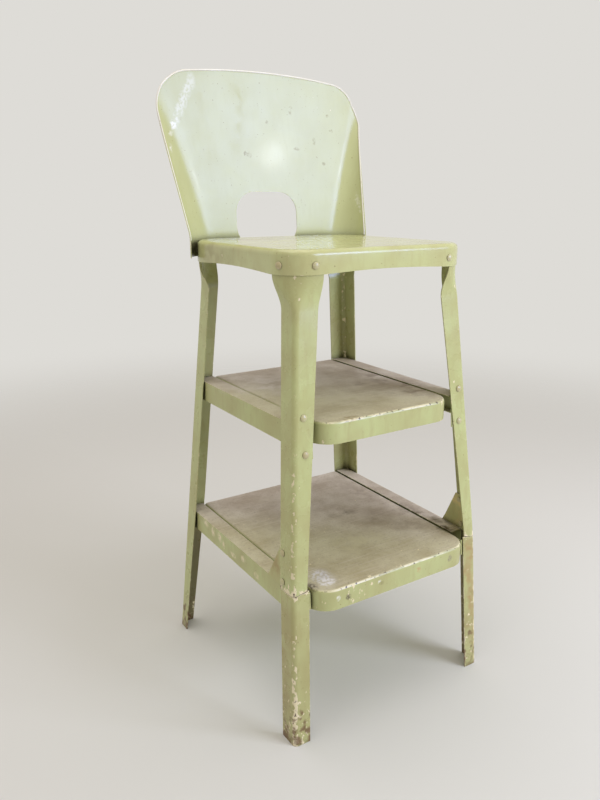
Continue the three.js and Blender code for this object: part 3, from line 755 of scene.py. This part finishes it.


def shaded_thin_inside(tree, point, colour, shaded_bare):
    """Browns the faces that look towards the chair's upright axis, as painted shade with thin paint.
    The last argument is how much, near the floor.
    """
    out = add(tree, "VectorMath", {0: point["place"], 1: (0, SEAT_MIDDLE.y, 0)}, operation="SUBTRACT")
    out = add(tree, "VectorMath", {0: out, 1: (1, 1, 0)}, operation="MULTIPLY")
    outward = add(tree, "VectorMath", {0: out, 1: point["normal"]}, operation="DOT_PRODUCT")
    inside = add(tree, "MapRange", {0: outward, 1: 0.0, 2: -0.03})
    thin = add(tree, "MapRange", {0: point["height"], 1: KNEE, 2: KNEE - SHADE_AND_THIN_OVER, 3: 0.3 * shaded_bare, 4: shaded_bare})
    inside = add(tree, "Math", {0: inside, 1: thin}, operation="MULTIPLY")
    return add(tree, "Mix", {0: inside, 6: colour, 7: SHADE_AND_BARE_INSIDE}, data_type="RGBA")


# the painted shade inside the legs is strongest below this height
print("thinnest below", round(KNEE - SHADE_AND_THIN_OVER, 3))

# %% [markdown]
# ## Marks in known places
#
# A scuff or a stain that has its own place is a ragged ellipsoid: a middle, and a reach in each direction.
# Noise shifts the place that is measured, so the outline frays, and more noise breaks the mark up inside.

# %% Marks
MARK_GRAIN = 4 * MM
SMUDGE_GRAIN = 24 * MM


def marked(tree, point, colour, marks, grain, solid):
    """Lays marks over a colour. A mark has a middle and a reach in mm, a colour and a strength. grain is
    the size of the raggedness, and solid the share of the reach that isn't faded."""
    place = point["place"]
    ragged = add(tree, "TexNoise", {"Vector": place, "Scale": 1 / grain, "Detail": 4.0})
    broken = add(tree, "MapRange", {0: ragged.outputs["Fac"], 1: 0.42, 2: 0.54, 3: 0.2, 4: 1.0})
    broken = add(tree, "Math", {0: broken, 1: point["seen"]}, operation="MULTIPLY")
    ragged = add(tree, "VectorMath", {0: ragged.outputs["Color"], 1: (0.5, 0.5, 0.5)}, operation="SUBTRACT")
    ragged = add(tree, "VectorMath", {0: ragged, 1: (2 * grain,) * 3, 2: place}, operation="MULTIPLY_ADD")
    for middle, reach, shade, strength in marks:
        offset = add(tree, "VectorMath", {0: ragged, 1: Vector(middle) * MM}, operation="SUBTRACT")
        offset = add(tree, "VectorMath", {0: offset, 1: Vector(reach) * MM}, operation="DIVIDE")
        far = add(tree, "VectorMath", {0: offset}, operation="LENGTH")
        inside = add(tree, "MapRange", {0: far, 1: 1.0, 2: solid, 4: strength})
        inside = add(tree, "Math", {0: inside, 1: broken}, operation="MULTIPLY")
        colour = add(tree, "Mix", {0: inside, 6: colour, 7: shade}, data_type="RGBA")
    return colour


def dulled(tree, point, smudges):
    """How greasy the paint is, from 0 to 1: the smudges again, in white on black."""
    black = add(tree, "RGB")
    black.outputs[0].default_value = linear("#000000")
    veils = [(middle, reach, "#ffffff", strength) for middle, reach, _, strength in smudges]
    return marked(tree, point, black, veils, SMUDGE_GRAIN, 0.0)


print("grain of marks and smudges:", MARK_GRAIN, SMUDGE_GRAIN)

# %% [markdown]
# ## Painted crevice shade with dirt, chips and rust
#
# Ambient occlusion measures how boxed in a point is. The layer darkens such points: painted shade, with
# dirt.
#
# Chips come from one noise of flake size that is compared with a limit. Each thing that weakens paint adds
# to the noise and so brings it nearer to the limit. Cut edges are found with a Bevel node, whose rounded
# normal differs from the real one near an edge. Bends are found by their direction, because the flats of
# this chair all face nearly along one axis. A chip shows cream primer, and steel in its middle.

# %% Where painted shade and dirt gather, and where paint is loose
CREVICE = 16 * MM           # how far off a wall can be and still get painted shade and dirt
EDGE_RADIUS = 2.0 * MM
LIP = 9 * MM                # how far from the seam at the knee its lips chip
CHIP_LIMIT = 0.72
STEEL_LIMIT = 0.88


def shaded_and_grimy(tree, colour, shade_and_grime):
    # painted shade in corners and crevices, mixed with dirt: darker where ambient occlusion finds walls near
    sheltered = add(tree, "AmbientOcclusion", {"Distance": CREVICE}, samples=6).outputs["AO"]
    shade_and_dirt = add(tree, "MapRange", {0: sheltered, 1: 0.70, 2: 0.36, 4: shade_and_grime})
    return add(tree, "Mix", {0: shade_and_dirt, 6: colour, 7: CREVICE_SHADE_AND_GRIME}, data_type="RGBA")


def bend_at(tree, point):
    """1 where a face looks along none of the three axes."""
    facing = add(tree, "VectorMath", {0: point["normal"]}, operation="ABSOLUTE")
    facing = add(tree, "SeparateXYZ", {0: facing})
    squarest = add(tree, "Math", {0: facing.outputs["X"], 1: facing.outputs["Y"]}, operation="MAXIMUM")
    squarest = add(tree, "Math", {0: squarest, 1: facing.outputs["Z"]}, operation="MAXIMUM")
    return add(tree, "MapRange", {0: squarest, 1: 0.990, 2: 0.94}, interpolation_type="SMOOTHSTEP")


def looseness(tree, point, edges=0.17, bends=0.09, weak_from=0.12, weak_to=0.0, weak=0.10, lips=0.0,
              everywhere=0.0):
    """How near the paint is to flaking off. Each argument is what a kind of place adds to the noise. weak is
    added more and more from one height to another, in metres."""
    rounded = add(tree, "Bevel", {"Radius": EDGE_RADIUS}, samples=6)
    alike = add(tree, "VectorMath", {0: rounded, 1: point["normal"]}, operation="DOT_PRODUCT")
    at_edge = add(tree, "MapRange", {0: alike, 1: 0.97, 2: 0.78, 4: edges})
    at_bend = add(tree, "Math", {0: bend_at(tree, point), 1: bends}, operation="MULTIPLY")
    at_weak = add(tree, "MapRange", {0: point["height"], 1: weak_from, 2: weak_to, 4: weak})
    from_knee = add(tree, "Math", {0: point["height"], 1: KNEE}, operation="SUBTRACT")
    from_knee = add(tree, "Math", {0: from_knee}, operation="ABSOLUTE")
    at_lip = add(tree, "MapRange", {0: from_knee, 1: LIP, 2: 0.0, 4: lips})
    patches = add(tree, "TexNoise", {"Vector": point["upright"], "Scale": 1 / (40 * MM), "Detail": 1.0})
    patchy = add(tree, "MapRange", {0: patches, 1: 0.40, 2: 0.65, 3: -0.04, 4: 0.04})
    loose = add(tree, "TexNoise", {
        "Vector": point["stretched"], "Scale": 1 / (6 * MM), "Detail": 6.0, "Roughness": 0.6})
    for weakness in (everywhere, at_edge, at_bend, at_weak, at_lip, patchy):
        loose = add(tree, "Math", {0: loose, 1: weakness}, operation="ADD")
    return loose


# the painted shade and dirt reach this far from a wall
print("dirt gathers within", round(CREVICE / MM), "mm of a wall")

# %% Chips, rust and relief
FILM = 0.08 * MM            # thickness of the paint
DAMP_BELOW = 90 * MM


def chipped(tree, colour, loose, chip):
    steel = add(tree, "MapRange", {0: loose, 1: STEEL_LIMIT, 2: STEEL_LIMIT + 0.02})
    colour = add(tree, "Mix", {0: chip, 6: colour, 7: PRIMER}, data_type="RGBA")
    return add(tree, "Mix", {0: steel, 6: colour, 7: BARE_STEEL}, data_type="RGBA")


def rusted(tree, point, colour, rust):
    rusting = add(tree, "TexNoise", {"Vector": point["here"], "Scale": 1 / (11 * MM), "Detail": 5.0})
    damp = add(tree, "MapRange", {0: point["height"], 1: DAMP_BELOW, 2: 0.0, 3: -0.10, 4: 0.22})
    rusting = add(tree, "Math", {0: rusting, 1: damp}, operation="ADD")
    rusty = add(tree, "MapRange", {0: rusting, 1: 0.62, 2: 0.74, 4: rust})
    return add(tree, "Mix", {0: rusty, 6: colour, 7: RUST}, data_type="RGBA")


def embossed(tree, point, chip, dents):
    """Wide, shallow dents, the faint peel of sprayed paint, and chips that lie one film lower."""
    hollows = add(tree, "TexNoise", {"Vector": point["here"], "Scale": 1 / (75 * MM), "Detail": 1.0})
    peel = add(tree, "TexNoise", {"Vector": point["here"], "Scale": 1 / (3.0 * MM), "Detail": 1.0})
    relief = add(tree, "Math", {0: hollows, 1: dents * MM}, operation="MULTIPLY")
    relief = add(tree, "Math", {0: peel, 1: 0.012 * MM, 2: relief}, operation="MULTIPLY_ADD")
    relief = add(tree, "Math", {0: chip, 1: -FILM, 2: relief}, operation="MULTIPLY_ADD")
    return add(tree, "Bump", {"Height": relief, "Distance": 1.0, "Strength": 1.0})


print("the paint is", FILM / MM, "mm thick")

# %% [markdown]
# ## One enamel from all the layers
#
# The layers are laid one over another and end in a single Principled shader. Grease on the paint takes its
# shine away, so smudges lower the mirror and the coat as well as changing the colour.

# %% Enamel
def enamel(name, fresh, aged, gloss=0.24, uneven=0.14, coat=0.0, dents=0.9, shade_and_grime=0.92, rust=0.0, shaded_bare=0.0,
           seed=0.0, worn=None, smudges=(), marks=(), **weakness):
    """gloss and uneven give the roughness, dents are in mm, worn lays a rubbed finish over the paint, and
    weakness is for looseness. The other numbers are strengths: of the painted shade with dirt in crevices,
    of the rust, and of the painted shade with thin paint on the legs' inner faces."""
    material = bpy.data.materials.new(name)
    material.use_nodes = True
    tree = material.node_tree
    tree.nodes.clear()
    point = survey(tree, seed)
    colour = yellowed(tree, point, fresh, aged)
    shine = add(tree, "TexNoise", {"Vector": point["here"], "Scale": 1 / (22 * MM), "Detail": 5.0})
    rough = add(tree, "MapRange", {0: shine, 1: 0.3, 2: 0.75, 3: gloss, 4: gloss + uneven})
    if worn:
        colour, rough = worn(tree, point, colour, rough)
    colour = shaded_thin_inside(tree, point, colour, shaded_bare)
    colour = marked(tree, point, colour, smudges, SMUDGE_GRAIN, 0.0)
    colour = shaded_and_grimy(tree, colour, shade_and_grime)
    loose = looseness(tree, point, **weakness)
    chip = add(tree, "MapRange", {0: loose, 1: CHIP_LIMIT, 2: CHIP_LIMIT + 0.012})
    colour = chipped(tree, colour, loose, chip)
    colour = rusted(tree, point, colour, rust)
    colour = marked(tree, point, colour, marks, MARK_GRAIN, 0.5)

    dull = dulled(tree, point, smudges)
    mirror = add(tree, "MapRange", {0: dull, 3: 0.5, 4: 0.05})
    glaze = add(tree, "MapRange", {0: dull, 3: coat, 4: 0.0})
    rough = add(tree, "Math", {0: chip, 1: 0.35, 2: rough}, operation="MULTIPLY_ADD")
    bump = embossed(tree, point, chip, dents)
    shader = add(tree, "BsdfPrincipled", {
        "Base Color": colour, "Roughness": rough, "IOR": 1.52, "Specular IOR Level": mirror,
        "Coat Weight": glaze, "Coat Roughness": 0.09, "Normal": bump})
    add(tree, "OutputMaterial", {"Surface": shader})
    print(name, "has", len(tree.nodes), "nodes")
    return material


# %% [markdown]
# ## Tops that shoes have walked on
#
# The steps' upper faces, and the rails beside them, are rubbed to a dull greyish mauve, and towards the
# front left more of the green is left. Faint scratches cross them in two directions. The rolled front edge
# is pale, partly painted highlight and partly scraped paint, with small dark nicks.

# %% Trodden tops
def trodden(tree, point, colour, rough):
    here = point["here"]
    facing = add(tree, "SeparateXYZ", {0: point["normal"]})
    top = add(tree, "MapRange", {0: facing.outputs["Z"], 1: 0.60, 2: 0.96}, interpolation_type="SMOOTHSTEP")
    stains = add(tree, "TexNoise", {
        "Vector": here, "Scale": 1 / (60 * MM), "Detail": 8.0, "Roughness": 0.62})
    stained = add(tree, "MapRange", {0: stains, 1: 0.38, 2: 0.62})
    rubbed = add(tree, "Mix", {0: stained, 6: "#d3cac5", 7: "#b2a59a"}, data_type="RGBA")
    across = add(tree, "SeparateXYZ", {0: point["place"]})
    backward = add(tree, "Math", {0: across.outputs["X"], 1: 0.8, 2: across.outputs["Y"]},
                   operation="MULTIPLY_ADD")
    greener = add(tree, "MapRange", {0: backward, 1: 0.04, 2: -0.08, 4: 0.8})
    green = add(tree, "Mix", {0: stained, 6: "#c8c4a2", 7: "#b5ad88"}, data_type="RGBA")
    rubbed = add(tree, "Mix", {0: greener, 6: rubbed, 7: green}, data_type="RGBA")
    grit = add(tree, "TexNoise", {"Vector": here, "Scale": 1 / (2.2 * MM), "Detail": 3.0})
    gritty = add(tree, "MapRange", {0: grit, 1: 0.56, 2: 0.72, 4: 0.5})
    rubbed = add(tree, "Mix", {0: gritty, 6: rubbed, 7: "#8b7d70"}, data_type="RGBA")
    rubbed = scratched(tree, here, rubbed)
    colour = add(tree, "Mix", {0: top, 6: colour, 7: rubbed}, data_type="RGBA")
    rough = add(tree, "Math", {0: top, 1: 0.32, 2: rough}, operation="MULTIPLY_ADD")
    return scraped_and_highlit(tree, here, facing, colour), rough


SCRATCH_TURNS = (0.5, -0.9)         # radians from the chair's width


def scratched(tree, here, colour):
    """Thin scratches: a fine noise, drawn out to some sixty times its width."""
    for turn in SCRATCH_TURNS:
        along = add(tree, "Mapping", {"Vector": here, "Rotation": (0, 0, turn), "Scale": (0.016, 1, 1)})
        lines = add(tree, "TexNoise", {"Vector": along, "Scale": 1 / (1.6 * MM), "Detail": 2.0})
        scratch = add(tree, "MapRange", {0: lines, 1: 0.58, 2: 0.74, 4: 0.45})
        colour = add(tree, "Mix", {0: scratch, 6: colour, 7: "#d8d0c6"}, data_type="RGBA")
    return colour


def scraped_and_highlit(tree, here, facing, colour):
    """Pales the front roll, partly as painted highlight and partly as scraped paint, and nicks it. The roll
    faces both up and forwards, so the product of the two finds it.
    """
    forward = add(tree, "Math", {0: facing.outputs["Y"], 1: -1.0}, operation="MULTIPLY")
    roll = add(tree, "Math", {0: forward, 1: facing.outputs["Z"]}, operation="MULTIPLY")
    roll = add(tree, "MapRange", {0: roll, 1: 0.28, 2: 0.42})
    scrapes = add(tree, "Mapping", {"Vector": here, "Scale": (0.22, 1, 1)})
    scrapes = add(tree, "TexNoise", {"Vector": scrapes, "Scale": 1 / (5 * MM), "Detail": 4.0})
    pale = add(tree, "MapRange", {0: scrapes, 1: 0.38, 2: 0.50})
    pale = add(tree, "Math", {0: pale, 1: roll}, operation="MULTIPLY")
    colour = add(tree, "Mix", {0: pale, 6: colour, 7: "#e9e5c6"}, data_type="RGBA")
    nicks = add(tree, "TexNoise", {"Vector": here, "Scale": 1 / (4 * MM), "Detail": 3.0})
    nicked = add(tree, "MapRange", {0: nicks, 1: 0.60, 2: 0.64})
    nicked = add(tree, "Math", {0: nicked, 1: roll}, operation="MULTIPLY")
    return add(tree, "Mix", {0: nicked, 6: colour, 7: BARE_STEEL}, data_type="RGBA")


print("scratches run", [round(math.degrees(turn)) for turn in SCRATCH_TURNS], "degrees from the width")

# %% [markdown]
# ## What happened to this chair
#
# The marks tell its life: a long scuff at the top left of the back, where it rubbed on a wall, smears of
# hands, a corner of the lower step that is scraped pale, and chipped paint along the left rail. A few stand
# for light instead, wholly or in part: a painted highlight down the right wing, painted shade on the seat's
# left skirt and on the right rail's top, a painted reflection on the seat's top, and painted light on the
# right ear. Each is a middle and a reach in millimetres, a colour and a strength.

# %% Marks on each piece
SCUFF = "#eef0ea"
SMEAR = "#c6cba2"
BROWN = "#8f8656"
DARK = "#5d5148"

PANEL_SMEARS = (            # x, z, reach in x and z, strength
    (-101, 818, 11, 44, 0.7),
    (-39, 818, 10, 40, 0.95),
    (-42, 775, 9, 46, 0.8),
    (-88, 735, 20, 34, 0.6),
    (-100, 765, 12, 20, 0.4),
    (-42, 744, 18, 20, 0.7),
    (20, 800, 8, 40, 0.4),
    (70, 740, 10, 50, 0.5),
    (-75, 650, 24, 34, 0.5),
)
PANEL_SPOTS = (             # the same
    (-136, 782, 3, 3, 0.5),
    (-30, 737, 5, 4, 0.8),
    (-36, 739, 3, 5, 0.7),
    (44, 800, 3, 5, 0.5),
    (46, 807, 3, 2.5, 0.5),
    (54, 748, 7, 3, 0.5),
    (86, 760, 3, 7, 0.5),
    (103, 728, 4, 3, 0.6),
    (112, 799, 4, 2.5, 0.6),
    (118, 777, 5, 2.5, 0.5),
    (3, 784, 3, 3, 0.5),
)
BACK_SMUDGES = [((x, 165, z), (wide, 20, high), SMEAR, much) for x, z, wide, high, much in PANEL_SMEARS]
BACK_MARKS = [
    ((-115, 165, 832), (8, 20, 13), SCUFF, 0.40),
    ((-122, 165, 819), (7, 20, 13), SCUFF, 0.45),
    ((-129, 163, 806), (8, 20, 13), SCUFF, 0.50),
    ((-135, 160, 793), (7, 20, 13), SCUFF, 0.50),
    ((-141, 158, 781), (7, 20, 11), SCUFF, 0.50),
    ((-146, 155, 773), (7, 25, 9), SCUFF, 0.9),
    ((-152, 150, 762), (5, 25, 5), SCUFF, 0.8),
    ((-155, 150, 742), (3, 25, 8), SCUFF, 0.8),
    # a painted highlight: the thin bright line down the right wing, laid in the scuff colour
    ((152, 135, 666), (2, 14, 26), SCUFF, 0.5),
]
BACK_MARKS += [((x, 165, z), (wide, 20, high), BROWN, much) for x, z, wide, high, much in PANEL_SPOTS]
LEG_SMUDGES = [
    ((146, -150, 170), (16, 20, 50), "#b38f69", 1.0),
    ((151, -155, 105), (16, 20, 60), "#b38f69", 1.0),
    ((156, -160, 40), (18, 20, 44), "#ab9068", 0.9),
    ((-163, -140, 130), (9, 26, 90), "#9c7f5c", 0.8),
    ((-168, -140, 40), (12, 26, 60), "#94775a", 0.8),
]
STEP_SMUDGES_AND_PAINTED_LIGHT = [
    ((98, 10, 417), (30, 90, 9), "#7f6c63", 0.6),
    ((52, -5, 417), (30, 22, 9), "#8d7e75", 0.4),
    ((40, 60, 417), (34, 44, 9), "#d3ccc8", 0.55),
    ((-5, -70, 417), (60, 32, 9), "#d3ccbc", 0.6),
    ((88, -80, 417), (34, 26, 9), "#806b57", 0.6),
    ((-40, -40, 417), (30, 30, 9), "#d6cfc6", 0.5),
    ((-70, 62, 417), (70, 90, 9), "#e0d9d8", 0.8),
    ((92, -60, 417), (50, 100, 9), "#7d6a5e", 0.6),
    ((41, 2, 209), (26, 17, 9), "#6e6153", 0.7),
    ((96, -82, 209), (34, 26, 9), "#877562", 0.55),
    ((60, -45, 209), (40, 26, 9), "#8f8270", 0.4),
    ((0, -88, 209), (80, 36, 9), "#cfcaa8", 0.5),
    ((2, -14, 209), (34, 12, 9), "#cfc8be", 0.6),
    ((50, -26, 209), (28, 11, 9), "#cfc8be", 0.55),
    ((-45, 112, 209), (42, 28, 9), "#cdc5bb", 0.5),
    ((108, 60, 209), (24, 80, 9), "#8b7a72", 0.45),
    ((-99, -137, 209), (24, 32, 9), "#c4c1c6", 0.8),
    ((-150, -112, 234), (12, 34, 30), "#a88f68", 0.8),
    # painted shade: the two dark patches on the right rail's top
    ((136, -70, 209), (16, 80, 9), "#6e6052", 0.8),
    ((140, -118, 209), (16, 60, 9), "#51482f", 1.0),
    # painted light, with some worn primer: the pale patch on the right ear's inner face, which lies in shade
    ((151, -114, 236), (12, 44, 36), "#f2dfa8", 1.0),
]
RAIL_CHIPS = (              # along the left rail: y, z, reach in y and z, strength
    (96, 204, 11, 8, 0.9),
    (72, 200, 7, 11, 1.0),
    (50, 199, 8, 10, 1.0),
    (38, 192, 5, 8, 0.9),
    (8, 190, 10, 5, 0.9),
    (-22, 197, 8, 6, 0.9),
    (-60, 190, 9, 6, 0.8),
)
STEP_MARKS = [((-154, y, z), (6, wide, high), PRIMER, much) for y, z, wide, high, much in RAIL_CHIPS]
STEP_MARKS += [
    ((-62, -138, 417), (16, 8, 9), "#8f7a4c", 0.6),
    ((-99, -135, 209), (17, 22, 9), "#dcdce4", 0.85),
    ((-100, -150, 209), (15, 11, 9), "#f0f0f6", 0.9),
    ((-122, -150, 209), (7, 12, 9), DARK, 0.8),
    ((-97.7, -172.4, 196), (4, 4, 5), SCUFF, 0.8),
    ((-82.6, -172.4, 193.2), (5, 4, 5), DARK, 0.8),
    ((-29.3, -172.4, 196), (4.5, 4, 4), BROWN, 0.7),
    ((-33, -172.4, 199), (3, 4, 2.5), SCUFF, 0.8),
    ((34.6, -172.4, 196), (5, 4, 5), "#c9a878", 0.6),
    ((91.6, -172.4, 196), (5.5, 4, 5.5), "#8f8578", 0.8),
]
SEAT_SMUDGES_AND_PAINTED_LIGHT = [
    # painted shade: darkens the far end of the seat's left skirt
    ((-141, 75, 605), (14, 110, 24), "#9b976f", 0.6),
    # partly painted reflection, partly rubbed paint: the pinkish grey patches on the seat's top
    ((-45, 95, 620), (90, 70, 9), "#a89c8a", 0.7),
    ((30, 120, 620), (60, 30, 9), "#a39682", 0.6),
]
SEAT_MARKS = [
    ((-60, 60, 620), (10, 5, 9), DARK, 0.5),
    ((-38, 70, 620), (16, 4, 9), DARK, 0.5),
    ((60, -60, 620), (8, 4, 9), DARK, 0.3),
]

print("marks on the steps:", len(STEP_SMUDGES_AND_PAINTED_LIGHT) + len(STEP_MARKS))

# %% [markdown]
# ## Which finish goes where
#
# All pieces came out of one enamelling batch, so the finishes share their green. They differ in how they
# lived: the backrest and the seat were wiped, the steps were walked on, and the feet stood on wet floors.

# %% Finishes
FRESH_GREEN = "#c4cd95"
AGED_GREEN = "#b5b27e"
KICKED_BELOW = 300 * MM     # on the upper legs
finishes = {
    "back_legs": enamel(
        "stove_enamel_on_back_legs", FRESH_GREEN, AGED_GREEN, rust=0.8, shaded_bare=0.75, seed=1.3),
    "upper_legs": enamel(
        "stove_enamel_on_upper_legs", FRESH_GREEN, AGED_GREEN, gloss=0.2, bends=0.085,
        weak_from=KICKED_BELOW, weak_to=KNEE, weak=0.06, lips=0.20, shaded_bare=0.75, seed=1.9),
    "lower_legs": enamel(
        "flaking_enamel_on_lower_legs", "#bec28c", "#aca472", bends=0.15, weak_from=0.20, weak=0.11,
        lips=0.16, everywhere=0.01, rust=0.8, shaded_bare=0.75, seed=5.6, smudges=LEG_SMUDGES),
    "seat": enamel(
        "stove_enamel_on_seat", "#cad19b", "#bcb985", gloss=0.13, uneven=0.10, coat=0.2, edges=0.10,
        bends=0.03, seed=4.1, smudges=SEAT_SMUDGES_AND_PAINTED_LIGHT, marks=SEAT_MARKS),
    "backrest": enamel(
        "stove_enamel_on_backrest", "#c8ce9e", "#c2c796", gloss=0.14, uneven=0.03, coat=0.3, bends=0.0,
        dents=0.10, seed=7.7, smudges=BACK_SMUDGES, marks=BACK_MARKS),
    # the rolled edge's near-white is partly painted highlight and partly paint worn to primer
    "rolled_edge": enamel(
        "worn_enamel_and_painted_highlight_on_rolled_edge", "#f6f6f3", "#eeebe0", gloss=0.16, bends=0.0, edges=0.0,
        everywhere=0.03, shade_and_grime=0.0, seed=3.4),
    "steps": enamel(
        "trodden_enamel_on_steps", FRESH_GREEN, AGED_GREEN, gloss=0.28, bends=0.06, weak_from=0.27,
        weak_to=0.18, weak=0.03, seed=9.2, worn=trodden, smudges=STEP_SMUDGES_AND_PAINTED_LIGHT, marks=STEP_MARKS),
    "rivets": enamel(
        "enamel_on_rivets", "#c8c69e", "#bdaf87", bends=0.05, everywhere=0.06, seed=2.2),
}
print("finishes:", sorted(finishes))

# %% Finishes on the pieces
FINISH_WORDS = (            # the first word that is in a node's name decides
    ("rivet", "rivets"),
    ("step", "steps"),
    ("rail", "steps"),
    ("upper_leg", "upper_legs"),
    ("lower_leg", "lower_legs"),
    ("leg", "back_legs"),
    ("seat_pan", "seat"),
    ("", "backrest"),
)
for node, piece in pieces.items():
    finish = next(finish for word, finish in FINISH_WORDS if word in node)
    piece.data.materials.append(finishes[finish])
bead.data.materials.append(finishes["rolled_edge"])
print("finishes in use:", sorted({piece.data.materials[0].name for piece in pieces.values()}))

# %% [markdown]
# ## Last settings
#
# The picture is shown as it was rendered, with no film look laid over it.

# %% Finish
scene.view_settings.view_transform = "Standard"
